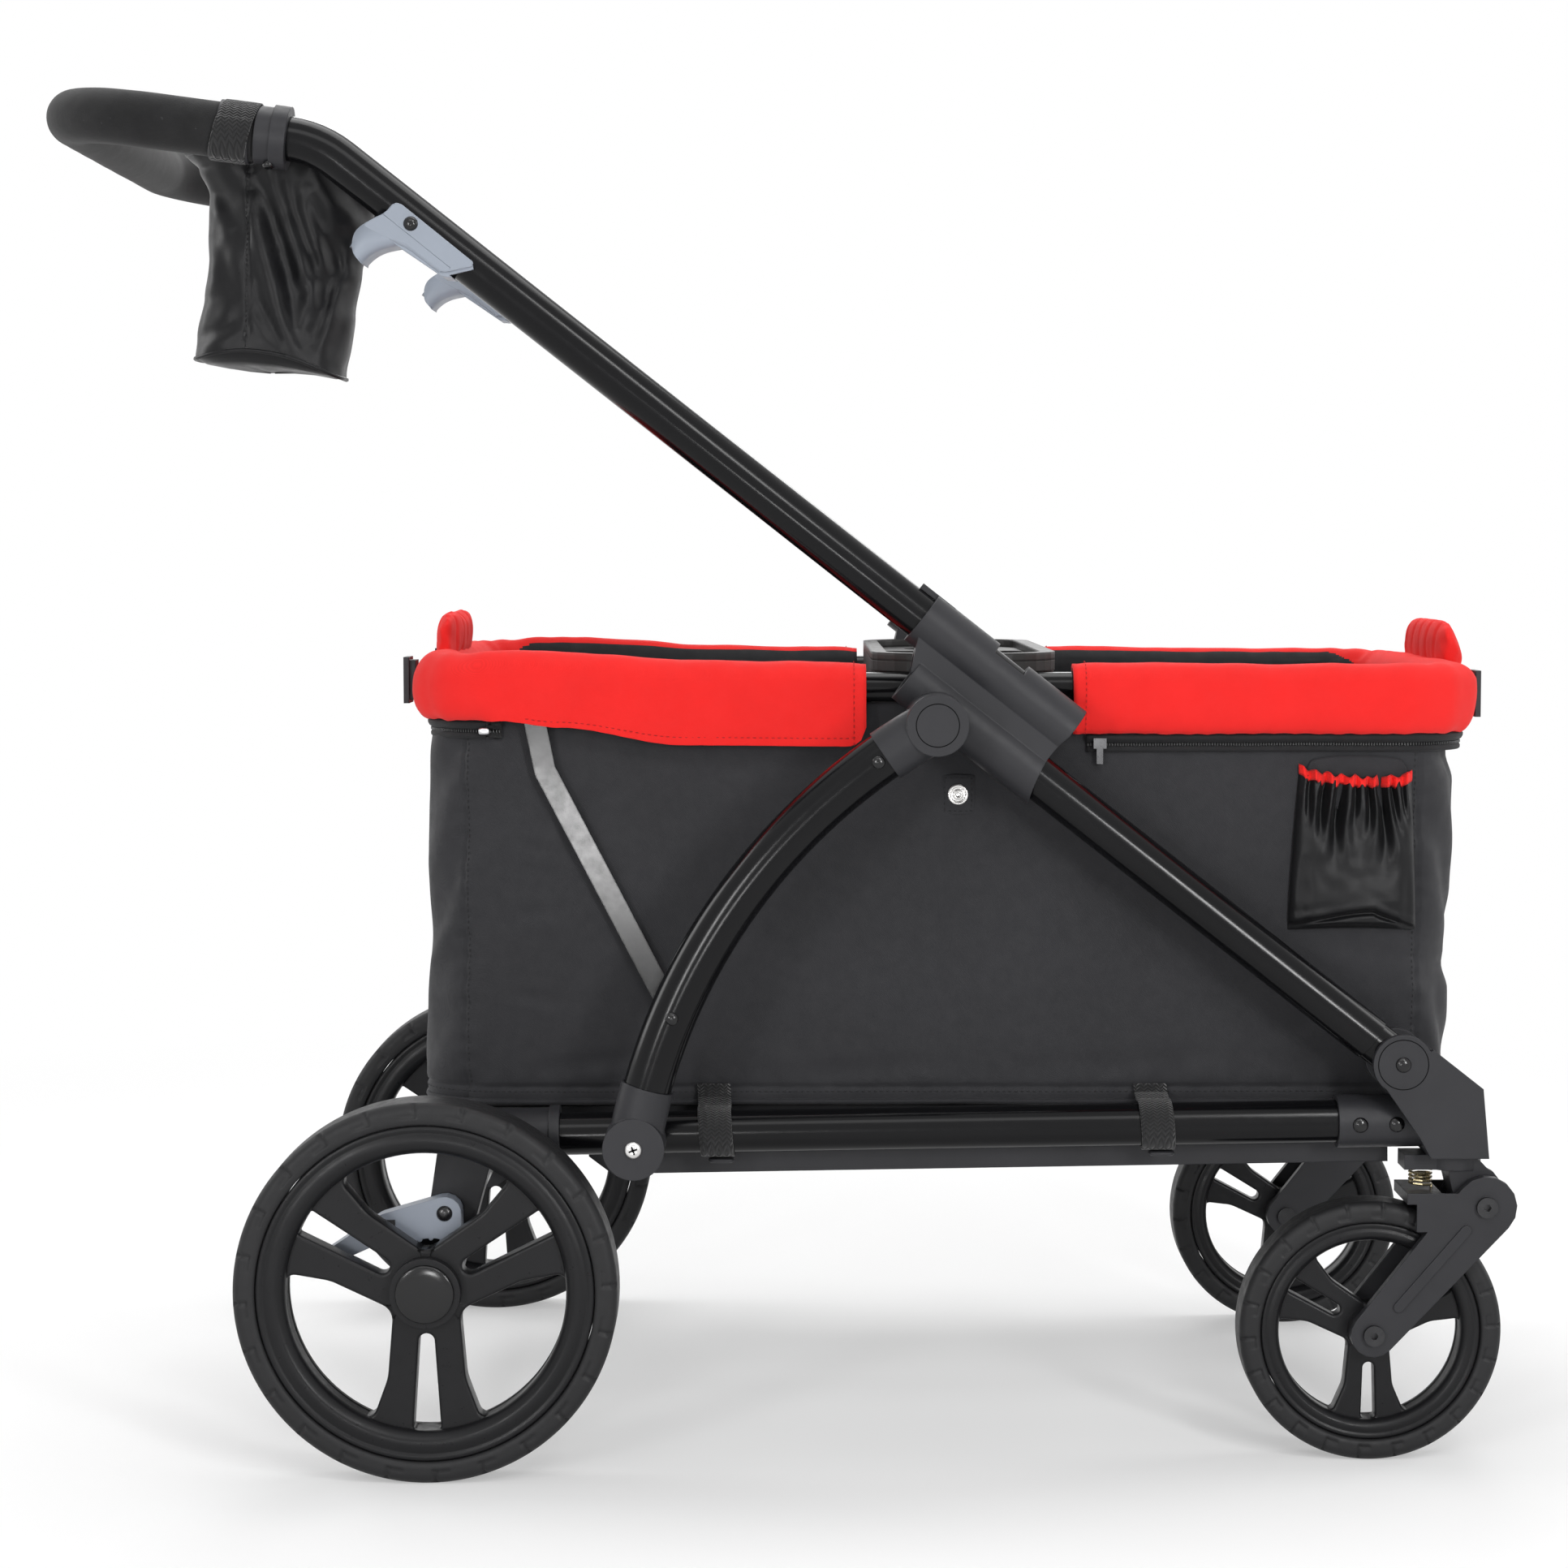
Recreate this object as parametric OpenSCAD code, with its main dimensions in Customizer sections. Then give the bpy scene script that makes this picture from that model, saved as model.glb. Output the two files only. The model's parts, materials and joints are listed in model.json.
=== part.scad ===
// Folding stroller wagon: fabric tub on four wheels, with a long push handle.
// Millimetres. +X points forward to the casters, +Y to the left side, +Z up.
// The floor is at Z 0 and the origin lies under the middle of the overall length.
// Places along X are measured from the rear axle and moved to the origin at the end.

/* [Wheels] */
// Diameter of a rear wheel over its tyre
rear_wheel_d = 292; // [270:1:310]
// Width of a rear tyre
rear_tyre_w = 45; // [38:1:48]
// Centre plane to the middle of a rear wheel
rear_spread = 300; // [298:1:330]
// Diameter of a front wheel over its tyre
front_wheel_d = 203; // [196:1:210]
// Width of a front tyre
front_tyre_w = 38; // [30:1:40]
// Rear axle to front axle with the casters trailing
wheelbase = 727; // [700:1:780]

/* [Chassis] */
// Centre plane to the middle of a lower rail
rail_spread = 236; // [234:1:240]
// Outside diameter of a lower rail
rail_d = 33; // [28:0.5:35]
// Height of a rail's middle over the rear axle
rail_height = 252.5; // [248:0.5:262]
// Rise of the rails towards the front in degrees
rail_tilt = 0.9; // [0:0.1:1.5]
// Wall of the steel tubes
tube_wall = 1.6; // [1.2:0.1:2.5]

/* [Frame] */
// Leg foot pivot ahead of the rear axle
leg_foot_x = 158; // [150:1:180]
// Diameter of a curved leg tube
leg_d = 37; // [32:0.5:38]
// Height of a leg's bow over the line between its pivots
leg_bow = 45; // [25:1:60]
// Slope of the braces and the handle in degrees
brace_slope = 38.2; // [36:0.1:40]
// Diameter of the brace tubes
brace_d = 34; // [30:0.5:35]
// Diameter of the handle tube
handle_d = 34; // [30:0.5:35]
// Centre plane to the middle of a brace and a handle tube
brace_spread = 249; // [248:0.5:251]
// Length of a slide hub along the brace
hub_length = 144; // [120:1:160]
// Brace foot pivot to the lower end of the slide hub
hub_low = 338; // [320:1:350]

/* [Handle] */
// Brace foot pivot to the corner of the handle bend, along the handle
handle_length = 1086; // [1000:1:1120]
// Rise of the grip towards the rear in degrees
grip_tilt = 7.5; // [0:0.5:15]
// Diameter of the foam grip
grip_d = 42; // [38:0.5:44]
// Bend corner to the middle of the cross grip
grip_run = 201; // [180:1:240]

/* [Tub] */
// Height of the tub's rim tube
rim_z = 600.5; // [590:0.5:612]
// Diameter of the rim tube
rim_d = 23; // [20:0.5:24]
// Centre plane to the middle of the side rim
rim_spread = 205; // [203:0.5:206]
// Tub rim from the rear axle back to its rear middle
rim_back = 3; // [0:1:10]
// Length of the rim between its end middles
rim_length = 806; // [790:1:815]
// Height of the tub's lower hem
hem_z = 272; // [271:1:277]

/* [Hidden] */
$fn = 64;
// Points along a quarter or half round in an outline
arc_steps = 8;
// Overrun of every cut
cut = 1;
// Radial clearance of pins and tubes in their bores
fit = 0.05;
// Radial clearance of the hub on the brace
slide_fit = 0.08;
// Gap between parts that pass each other or rest on each other
gap = 0.3;

// Rails and what is mounted along them
rail_r = rail_d / 2;
function rail_z(x) = rail_height + x * tan(rail_tilt);
pin_r = 5;
rail_start = 66;

// Casters
front_axle_z = front_wheel_d / 2;
rear_axle_z = rear_wheel_d / 2;
caster_trail = 65;
swivel_x = wheelbase + caster_trail;
fork_reach = 86;
fork_rise = 100;
fork_pivot = [wheelbase + fork_reach, front_axle_z + fork_rise];
front_axle = [wheelbase, front_axle_z];
head_r = 21.5;
stem_r = 7;
stem_l = 44;
bracket_drop = 25;
bracket_floor = rail_z(swivel_x) - bracket_drop;
head_top = bracket_floor - gap;
lobe_r = 21;
lobe_half = 17;
lobe_neck_r = 14;
lobe_ahead = 8;
seat_back = 25;
seat_half_x = 15;
shoulder_h = 11.7;
seat_top_z = head_top - shoulder_h;
crown_rise = 10.5;
crown_t = 8.5;
crown_top_z = fork_pivot[1] + crown_rise;
fork_gap = 3;
fork_inner = front_tyre_w / 2 + fork_gap;
fork_t = 8;
fork_outer = fork_inner + fork_t;
fork_r_top = 23.6;
fork_r_low = 17.4;

// Brace foot pivot on the front bracket
brace_setback = 45;
brace_x = swivel_x - brace_setback;
brace_rise = 48.5;
brace_z = rail_z(brace_x) + brace_rise;
brace_r = brace_d / 2;
handle_r = handle_d / 2;
boss_r = 23;
knuckle_half = 16;
cheek_gap = 0.4;
cheek_t = 5.6;
cheek_in = knuckle_half + cheek_gap;
cheek_out = cheek_in + cheek_t;

// Slide hub, drawn along the brace with the brace axis as local X
tube_gap = 7;
handle_offset = brace_r + handle_r + tube_gap;
hub_wall = 4.5;
hub_skew = 20;
hub_high = hub_low + hub_length;
leg_pin_along = 445;
leg_pin_drop = 15.3;
up_brace = [-cos(brace_slope), sin(brace_slope)];
off_brace = [sin(brace_slope), cos(brace_slope)];
brace_foot = [brace_x, brace_z];
leg_top = brace_foot + leg_pin_along * up_brace - leg_pin_drop * off_brace;

// Legs: a bow between the foot pivot on the rail and the pivot on the hub
leg_r = leg_d / 2;
leg_foot = [leg_foot_x, rail_z(leg_foot_x)];
leg_span = norm(leg_top - leg_foot);
leg_turn = (leg_span * leg_span / 4 + leg_bow * leg_bow) / (2 * leg_bow);
leg_along = (leg_top - leg_foot) / leg_span;
leg_normal = [-leg_along[1], leg_along[0]];
leg_centre = (leg_top + leg_foot) / 2 - leg_normal * (leg_turn - leg_bow);
leg_top_a = atan2(leg_top[1] - leg_centre[1], leg_top[0] - leg_centre[0]);
leg_foot_a = leg_top_a + 2 * asin(leg_span / leg_turn / 2);
cap_wall = 2;
cap_r = 23.5;
cap_proud = 0.5;
cap_half = leg_r + cap_wall + cap_proud;
cap_sleeve = 46;
cap_seat = 26;
hub_face = brace_spread + brace_r + hub_wall;
leg_spread = hub_face + leg_r + 2 * cap_wall;
leg_boss_r = 15;
function leg_arc(run) = run / leg_turn * 180 / PI;

// Handle bend and grip
bend_r = 80;
bend_angle = brace_slope - grip_tilt;
bend_tangent = bend_r * tan(bend_angle / 2);
hub_engage = 27;
grip_turn = 75;
grip_wall = grip_d / 2 - handle_r;
collar_l = 24;
collar_wall = 5;
collar_lip = 2;
handle_corner = brace_foot + handle_length * up_brace + handle_offset * off_brace;
grip_back = grip_run * cos(grip_tilt) + grip_d / 2;

// Overall reach sets the origin under the middle of the length
rear_reach = grip_back - handle_corner[0];
pad_front_t = 44;
pad_front_lean = 15;
front_reach = rim_length - rim_back + pad_front_lean + pad_front_t / 2;
rear_axle_x = (rear_reach - front_reach) / 2;

// Release lever, placed back along the handle from its bend
lever_setback = 96;
lever_pin_along = handle_length - lever_setback;
lever_pin_drop = 5;
lever_pin_r = 4;
lever_cheek = 3;
lever_low_run = 55;
lever_high_run = 17;
lever_web_drop = 21.5;
lever_web_t = 6;
lever_rest = 4;
lever_hook_r = 22;
lever_hook_t = 5;
lever_hook_half = 15;
lever_hook_start = 118;
lever_hook_end = 188;
lever_bite = [-1, -9];
lever_bite_r = 26.2;
lever_bite_start = 168.6;
lever_head_r = 7;
lever_head_h = 3.5;

// Tub rim and fabric
rim_r = rim_d / 2;
rim_turn = 55;
rim_front = rim_length - rim_back;
wall_t = 5;
wall_out = 3;
fabric_spread = rim_spread + wall_out;
wall_top = rim_z - rim_r - gap;
board_t = 8;
board_gap = 0.5;
cross_r = 11;
cross_drop = 4;
cross_places_share = [0.15, 0.5, 0.9];
rail_span = brace_x - rail_start;
runner_h = 21;
runner_w = 15;
runner_out = 6;
runner_start = 118;
runner_end_gap = 2;
runner_chamfer = 18;
strap_places = [219, 561];
strap_w = 25;
strap_t = 2;

// Bolsters: padded sleeves over the rim, by share of the way from the open end to the end's middle
bolster_out = 20.2;
bolster_in = 18;
bolster_flap_t = 3.7;
lining_drop = 15;
rear_bolster_x = 336;
front_bolster_x = 497;
sleeve_gap = 1.2;
hem_share = 0.9;
rear_drop = 25.5;
rear_hem_drop = 45.5;
front_drop = 36.5;
hem_reach = 19;
tuck_reach = 9.5;
rear_up = 26.5;
rear_corner_up = 29;
rear_hem_up = 19.5;
front_up = 17.6;
rear_drops = [[0, rear_hem_drop], [0.25, rear_hem_drop - sleeve_gap], [0.42, rear_drop +
  bolster_flap_t], [0.5, rear_drop], [1, rear_drop]];
rear_reaches = [[0, bolster_out], [0.486, hem_reach], [0.6, tuck_reach + sleeve_gap], [0.75,
  tuck_reach], [1, tuck_reach]];
rear_ups = [[0, rear_hem_up], [0.25, rear_hem_up + sleeve_gap], [0.36, rear_up], [0.47,
  rear_corner_up], [0.7, rear_up], [1, rear_up]];
front_drops = [[0, front_drop], [1, front_drop]];
front_reaches = [[0, tuck_reach + sleeve_gap], [0.1, tuck_reach], [1, tuck_reach]];
front_ups = [[0, rear_hem_up], [0.4, front_up], [1, front_up]];

// Struts under the rear bolster
strut_x = 77;
strut_drop = 20.5;
strut_t = 4;
strut_w = 17;
strut_pin_r = 4;
strut_bend = [86, 536];
strut_end = [187, 341];
strut_ear_t = 4;
strut_ear_gap = 0.6;
strut_in = wall_out + strut_ear_gap + strut_ear_t + gap;
strut_head_r = 7;
strut_head_t = 1.7;

// Shape helpers
function arc(c, r, a0, a1, n = arc_steps) =
  [for (i = [0:n]) c + r * [cos(a0 + (a1 - a0) * i / n), sin(a0 + (a1 - a0) * i / n)]];

// Outline round two circles and their outer tangents
function capsule(c1, r1, c2, r2) =
  let(
    d = c2 - c1,
    t = atan2(d[1], d[0]),
    s = acos((r1 - r2) / norm(d))
  )
  concat(arc(c1, r1, t + s, t + 360 - s), arc(c2, r2, t - s, t + s));

function rounded(lo, hi, r) = concat(
  arc([hi[0] - r, hi[1] - r], r, 0, 90),
  arc([lo[0] + r, hi[1] - r], r, 90, 180),
  arc([lo[0] + r, lo[1] + r], r, 180, 270),
  arc([hi[0] - r, lo[1] + r], r, 270, 360)
);

module in_place() translate([rear_axle_x, 0, 0]) children();
module right() mirror([0, 1, 0]) children();
// Side view outline (X, Z) made thick from y0 to y1
module plate(y0, y1) translate([0, y1, 0]) rotate([90, 0, 0]) linear_extrude(y1 - y0) children();
module at_xz(p) translate([p[0], 0, p[1]]) children();
module pin_y(r, y0, y1) translate([0, y1, 0]) rotate([90, 0, 0]) cylinder(r = r, h = y1 - y0);
module bar_x(r, x0, x1) translate([x0, 0, 0]) rotate([0, 90, 0]) cylinder(r = r, h = x1 - x0);
module ring_2d(r, wall) difference() { circle(r); circle(r - wall); }
module tube_x(r, wall, x0, x1) translate([x0, 0, 0]) rotate([0, 90, 0]) linear_extrude(x1 - x0)
  ring_2d(r, wall);
module on_rail() translate([0, 0, rail_height]) rotate([0, -rail_tilt, 0]) children();
module on_brace() translate([brace_x, 0, brace_z]) rotate([0, brace_slope, 0]) children();
// Domed rivet head standing on the plane Y 0 and pointing outwards
module rivet(r, h) rotate([-90, 0, 0]) rotate_extrude()
  polygon(concat([[0, 0]], [for (i = [0:arc_steps]) [r * cos(90 * i / arc_steps),
    h * sin(90 * i / arc_steps)]]));
// Piece of a bow in the side view, from angle a0 to a1 about c
module bow(c, turn, a0, a1) translate([c[0], 0, c[1]]) rotate([90, 0, 0]) rotate([0, 0, a0])
  rotate_extrude(angle = a1 - a0) translate([turn, 0]) children();

// Closed skin through rings of equal count, with flat fan ends
module skin(rings) {
  n = len(rings[0]);
  m = len(rings);
  middle = [for (k = [0,
    m - 1]) [for (j = [0:2]) let(s = [for (p = rings[k]) p[j]]) s * [for (p = s) 1] / n]];
  side = [for (k = [0:m - 2], i = [0:n - 1], h = [0, 1]) let(a = k * n + i, b = k * n + (i + 1) % n)
    h == 0 ? [a, b, b + n] : [a, b + n, a + n]];
  ends = [for (i = [0:n - 1], h = [0, 1]) let(b = (i + 1) % n)
    h == 0 ? [m * n, b, i] : [m * n + 1, (m - 1) * n + i, (m - 1) * n + b]];
  polyhedron(concat([for (r = rings) for (p = r) p], middle), concat(side, ends));
}

// Lower rails
module lower_rail_left() color("#1c1c1e") translate([0, rail_spread, 0]) difference() {
  on_rail() tube_x(rail_r, tube_wall, rail_start, brace_x);
  at_xz(leg_foot) pin_y(pin_r + fit, -rail_d, rail_d);
}
module lower_rail_right() right() lower_rail_left();

// Rear housings carry the rail ends, the rear axle and the brake pedals
housing_half = 17;
housing_wall = 4;
collar_r = 22.5;
collar_start = 90;
collar_end = 98;
housing_top = [27, 252];
housing_top_r = 22;
housing_knee = [17, 205];
housing_knee_r = 19;
axle_boss_r = 20;
pedal_pivot = [10.6, 198.3];
pedal_pin_r = 5;
pedal_pin_in = 13;
module rear_housing_left() color("#26262a") translate([0, rail_spread, 0]) difference() {
  union() {
    plate(-housing_half, housing_half) polygon(capsule(housing_top, housing_top_r, housing_knee,
      housing_knee_r));
    plate(-housing_half, housing_half) polygon(capsule(housing_knee, housing_knee_r, [0, rear_axle_z],
      axle_boss_r));
    on_rail() bar_x(rail_r + housing_wall, housing_top[0], collar_end);
    on_rail() bar_x(collar_r, collar_start, collar_end);
  }
  on_rail() bar_x(rail_r + fit, rail_start, collar_end + cut);
  translate([0, 0, rear_axle_z]) pin_y(axle_r + fit, -rail_spread, rail_spread);
  at_xz(pedal_pivot) pin_y(pedal_pin_r + fit, housing_half - pedal_pin_in - gap, housing_half + cut);
}
module rear_housing_right() right() rear_housing_left();

// Rear axle rod through both housings and both wheels
axle_r = 6;
axle_end = 18;
module rear_axle() color("#8a8d92") translate([0, 0, rear_axle_z]) pin_y(axle_r,
  -rear_spread - axle_end, rear_spread + axle_end);

// Front brackets join the rails, the braces and the casters
socket_wall = 4;
socket_start = 701;
block_back = 19;
block_lean = 5;
corner_rise = 54;
foot_back = 23;
waist_back_share = [0.7, 0.62];
outer_lip = 22;
inner_lip = 22;
bracket_shape = [
  [swivel_x + head_r, bracket_floor],
  [swivel_x + head_r - block_lean, bracket_floor + corner_rise],
  [brace_x + boss_r, brace_z + boss_r / 2],
  [brace_x - boss_r * waist_back_share[0], brace_z - boss_r * waist_back_share[1]],
  [brace_x + block_back - boss_r / 4, bracket_floor + boss_r * waist_back_share[0]],
  [swivel_x - foot_back, bracket_floor]
];
module bracket_face() {
  polygon(bracket_shape);
  translate(brace_foot) circle(boss_r);
}
module front_bracket_left() color("#26262a") difference() {
  union() {
    translate([0, brace_spread, 0]) {
      plate(cheek_in, cheek_out) bracket_face();
      plate(-cheek_out, -cheek_in) bracket_face();
      plate(-cheek_out - block_back / 2, cheek_out) intersection() {
        polygon(bracket_shape);
        translate([brace_x + block_back, bracket_floor]) square([rail_d * 2, corner_rise + boss_r]);
      }
    }
    translate([0, rail_spread, 0]) on_rail() bar_x(rail_r + socket_wall, socket_start, brace_x +
      block_back);
  }
  translate([0, rail_spread, 0]) on_rail() bar_x(rail_r + fit, socket_start - cut, brace_x + gap);
  translate([swivel_x, rail_spread, bracket_floor - cut]) cylinder(r = stem_r + fit, h = stem_l + gap +
    cut);
  translate([0, brace_spread, 0]) at_xz(brace_foot) pin_y(pin_r + fit, -rail_d * 2, rail_d);
}
module front_bracket_right() right() front_bracket_left();

// Cross tubes between the rails carry the floor
module cross_tubes() color("#1c1c1e") on_rail()
  for (s = cross_places_share)
    translate([rail_start + rail_span * s, 0, -cross_drop]) rotate([90, 0, 0])
      difference() {
        cylinder(r = cross_r, h = 2 * (rail_spread - rail_r - gap), center = true);
        cylinder(r = cross_r - tube_wall, h = 2 * rail_spread, center = true);
      }

// Runners under the cross tubes with a sloped rear end
module floor_runners() color("#222225") on_rail() translate([0, 0, -cross_drop - cross_r - gap])
  for (s = [0, 1]) mirror([0, s, 0])
  plate(rail_spread - rail_r - runner_out - runner_w, rail_spread - rail_r - runner_out)
    polygon([
      [runner_start, 0],
      [runner_start, -runner_h / 3],
      [runner_start + runner_chamfer, -runner_h],
      [brace_x - runner_end_gap, -runner_h],
      [brace_x - runner_end_gap, 0]
    ]);

// Plan outline that follows the rim at a distance outside its middle
function tub_plan(out) = rounded(
  [-rim_back - out, -rim_spread - out], [rim_front + out, rim_spread + out], rim_turn + out);
module floor_board() color("#202022") on_rail() translate([0, 0, cross_r - cross_drop + gap])
  linear_extrude(board_t) polygon(tub_plan(wall_out - wall_t - board_gap));

// Fabric walls of the tub
module side_wall_left() color("#2d2d30") translate([rim_turn - rim_back + gap, fabric_spread - wall_t,
  hem_z])
  cube([rim_length - 2 * rim_turn - 2 * gap, wall_t, wall_top - hem_z]);
module side_wall_right() right() side_wall_left();
// Part of a band round the tub, from inner to outer distance, cut between two places along X
module tub_band(inner, outer, x0, x1) intersection() {
  difference() {
    polygon(tub_plan(outer));
    polygon(tub_plan(inner));
  }
  translate([x0, -rim_length]) square([x1 - x0, 2 * rim_length]);
}
module end_wall(x0, x1) translate([0, 0, hem_z]) linear_extrude(wall_top - hem_z)
  tub_band(wall_out - wall_t, wall_out, x0, x1);
module end_wall_front() color("#2d2d30") end_wall(rim_front - rim_turn, rim_front + rim_turn);
module end_wall_rear() color("#2d2d30") end_wall(-rim_back - rim_turn, rim_turn - rim_back);

// Pocket sewn to the right wall, open at the top
pocket_back = 137;
pocket_rise = 138;
pocket_lo = [rim_front - pocket_back, hem_z + pocket_rise];
pocket_size = [98, 128];
pocket_deep = 19;
pocket_wall = 2;
module side_pocket() color("#29292c") right()
  translate([pocket_lo[0], fabric_spread + gap, pocket_lo[1]]) difference() {
    cube([pocket_size[0], pocket_deep, pocket_size[1]]);
    translate([pocket_wall, pocket_wall, pocket_wall])
      cube([pocket_size[0] - 2 * pocket_wall, pocket_deep - 2 * pocket_wall, pocket_size[1]]);
  }

// Webbing loops that tie the tub to the rails
module floor_straps() color("#18181a") for (x = strap_places, s = [0, 1]) mirror([0, s, 0])
  translate([0, rail_spread, 0]) on_rail() tube_x(rail_r + fit + strap_t, strap_t, x - strap_w / 2, x +
    strap_w / 2);

// Pivot pins and rivets of the chassis
head_h = 3;
pin_head_r = 6;
socket_rivet_back = [30, 2];
foot_pin_in = 10;
module chassis_pins() color("#b9bcc0") for (s = [0, 1]) mirror([0, s, 0]) {
  translate([0, brace_spread, 0]) at_xz(brace_foot) {
    pin_y(pin_r, -cheek_out, cheek_out + fit);
    translate([0, cheek_out + fit, 0]) rivet(pin_head_r, head_h);
  }
  at_xz(leg_foot) {
    pin_y(pin_r, rail_spread - foot_pin_in, leg_spread + cap_half + fit);
    translate([0, leg_spread + cap_half + fit, 0]) rivet(pin_head_r, head_h);
  }
  translate([0, rail_spread, 0]) on_rail() for (x = socket_rivet_back)
    translate([brace_x - x, rail_r + socket_wall + fit, 0]) rivet(pin_head_r, head_h);
}

// Curved legs
module leg_tube_left() color("#1a1a1c") translate([0, leg_spread, 0])
  bow(leg_centre, leg_turn, leg_top_a + leg_arc(cap_seat), leg_foot_a - leg_arc(cap_seat))
    ring_2d(leg_r, tube_wall);
module leg_tube_right() right() leg_tube_left();

module leg_caps() color("#26262a") for (s = [0, 1]) mirror([0, s, 0]) translate([0, leg_spread, 0]) {
  difference() {
    union() {
      bow(leg_centre, leg_turn, leg_top_a, leg_top_a + leg_arc(cap_sleeve)) circle(leg_r + cap_wall);
      at_xz(leg_top) pin_y(cap_r, -cap_half, cap_half);
    }
    bow(leg_centre, leg_turn, leg_top_a + leg_arc(cap_seat), leg_top_a + leg_arc(cap_sleeve + cut))
      circle(leg_r + fit);
  }
  difference() {
    union() {
      bow(leg_centre, leg_turn, leg_foot_a - leg_arc(cap_sleeve), leg_foot_a) circle(leg_r + cap_wall);
      at_xz(leg_foot) pin_y(cap_r, -cap_half, cap_half);
      at_xz(leg_foot) pin_y(leg_boss_r, rail_spread + rail_r + 2 * gap - leg_spread, 0);
    }
    bow(leg_centre, leg_turn, leg_foot_a - leg_arc(cap_sleeve + cut), leg_foot_a - leg_arc(cap_seat))
      circle(leg_r + fit);
    at_xz(leg_foot) pin_y(pin_r + fit, -leg_spread, leg_spread);
  }
}

// Domed rivets on the outside of the legs
leg_rivet_run = [41, 104];
leg_rivet_r = 5;
module leg_rivets() color("#b9bcc0") for (s = [0, 1]) mirror([0, s, 0]) {
  high = leg_top_a + leg_arc(cap_sleeve + pin_head_r + gap);
  low = leg_foot_a - leg_arc(leg_rivet_run[1]);
  for (a = [high, low])
    translate([leg_centre[0] + leg_turn * cos(a), leg_spread + leg_r + fit, leg_centre[1] +
      leg_turn * sin(a)])
      rivet(leg_rivet_r, head_h);
}

// Brace tubes with a knuckle on the bracket's pin
brace_end = 12;
neck_start = 27;
neck_plug = 14;
neck_r = 15.9;
module brace_tube_left() color("#1a1a1c") translate([0, brace_spread, 0]) difference() {
  on_brace() union() {
    tube_x(brace_r, tube_wall, brace_end - hub_high, -neck_start);
    bar_x(neck_r, -neck_start - neck_plug, 0);
    pin_y(brace_r - gap, -knuckle_half, knuckle_half);
  }
  at_xz(brace_foot) pin_y(pin_r + fit, -rail_d, rail_d);
}
module brace_tube_right() right() brace_tube_left();

// Slide hub: two parallel sleeves with a recessed strip between them
hub_r = brace_r + hub_wall;
hub_strip_half = 17;
hub_end_turn = 90;
hub_end_bite = 12;
hub_notch_at = 76;
hub_notch_l = 28;
hub_notch_d = 8;
hub_tab = [15, 7, 16];
module slide_hub_left() color("#2a2a2e") translate([0, brace_spread, 0]) on_brace() difference() {
  union() {
    bar_x(hub_r, -hub_high, -hub_low);
    translate([0, 0, handle_offset]) bar_x(hub_r, -hub_high - hub_skew, -hub_low - hub_skew);
    plate(-hub_strip_half, hub_strip_half) polygon([
      [-hub_high, 0], [-hub_high - hub_skew, handle_offset], [-hub_low - hub_skew, handle_offset],
        [-hub_low, 0]
    ]);
    translate([-leg_pin_along, 0, -leg_pin_drop]) pin_y(cap_r, 0,
      leg_spread - cap_half - gap - brace_spread);
    translate([-hub_high - hub_skew - hub_tab[0], -hub_tab[1] / 2, handle_offset + handle_r + fit])
      cube([hub_tab[0] + hub_tab[2], hub_tab[1], hub_wall]);
  }
  bar_x(brace_r + slide_fit, -hub_high - hub_length, 0);
  translate([0, 0, handle_offset]) bar_x(handle_r + fit, -hub_high - hub_length,
    -hub_low - hub_skew - hub_engage / 2);
  translate([-hub_low - hub_skew / 2 + hub_end_turn - hub_end_bite, 0, handle_offset / 2])
    pin_y(hub_end_turn, -rail_d, rail_d);
  translate([-hub_low - hub_notch_at - hub_notch_l, -rail_d, handle_offset + hub_r - hub_notch_d])
    cube([hub_notch_l, 2 * rail_d, hub_notch_d + cut]);
}
module slide_hub_right() right() slide_hub_left();

// Handle: bent tubes and a grip bow that meet under the collars, drawn as a half and its mirror image
handle_low = hub_low + hub_skew + hub_engage;
module handle_half(r, wall, low) translate([0, brace_spread, 0]) on_brace() translate([0, 0,
  handle_offset]) {
  tube_x(r, wall, bend_tangent - handle_length, -low);
  translate([bend_tangent - handle_length, 0, -bend_r]) rotate([90, 0, 0]) rotate([0, 0, 90])
    rotate_extrude(angle = bend_angle) translate([bend_r, 0]) ring_2d(r, wall);
}
module at_bend() translate([0, brace_spread, 0]) at_xz(handle_corner) rotate([0, grip_tilt,
  0]) children();
// Straight, corner and half of the cross bar, from a run behind the bend corner
module grip_half(r, wall, start) {
  at_bend() {
    tube_x(r, wall, grip_turn - grip_run, -start);
    translate([grip_turn - grip_run, -grip_turn, 0]) rotate([0, 0, 90])
      rotate_extrude(angle = 90) translate([grip_turn, 0]) ring_2d(r, wall);
    translate([-grip_run, -grip_turn, 0]) rotate([90, 0, 0]) linear_extrude(brace_spread - grip_turn)
      ring_2d(r, wall);
  }
}
module handle_tube() color("#1a1a1c") difference() {
  for (s = [0, 1]) mirror([0, s, 0]) {
    handle_half(handle_r, tube_wall, handle_low);
    grip_half(handle_r, tube_wall, bend_tangent + fit);
  }
  for (s = [0, 1]) mirror([0, s, 0]) translate([0, brace_spread, 0]) on_brace()
    translate([-lever_pin_along, 0, handle_offset - lever_pin_drop]) pin_y(lever_pin_r + fit, -rail_d,
      rail_d);
}
grip_start = bend_tangent + collar_l + gap;
module handle_grip() color("#242427") for (s = [0, 1]) mirror([0, s, 0])
  grip_half(grip_d / 2, grip_wall - fit, grip_start);

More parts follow.
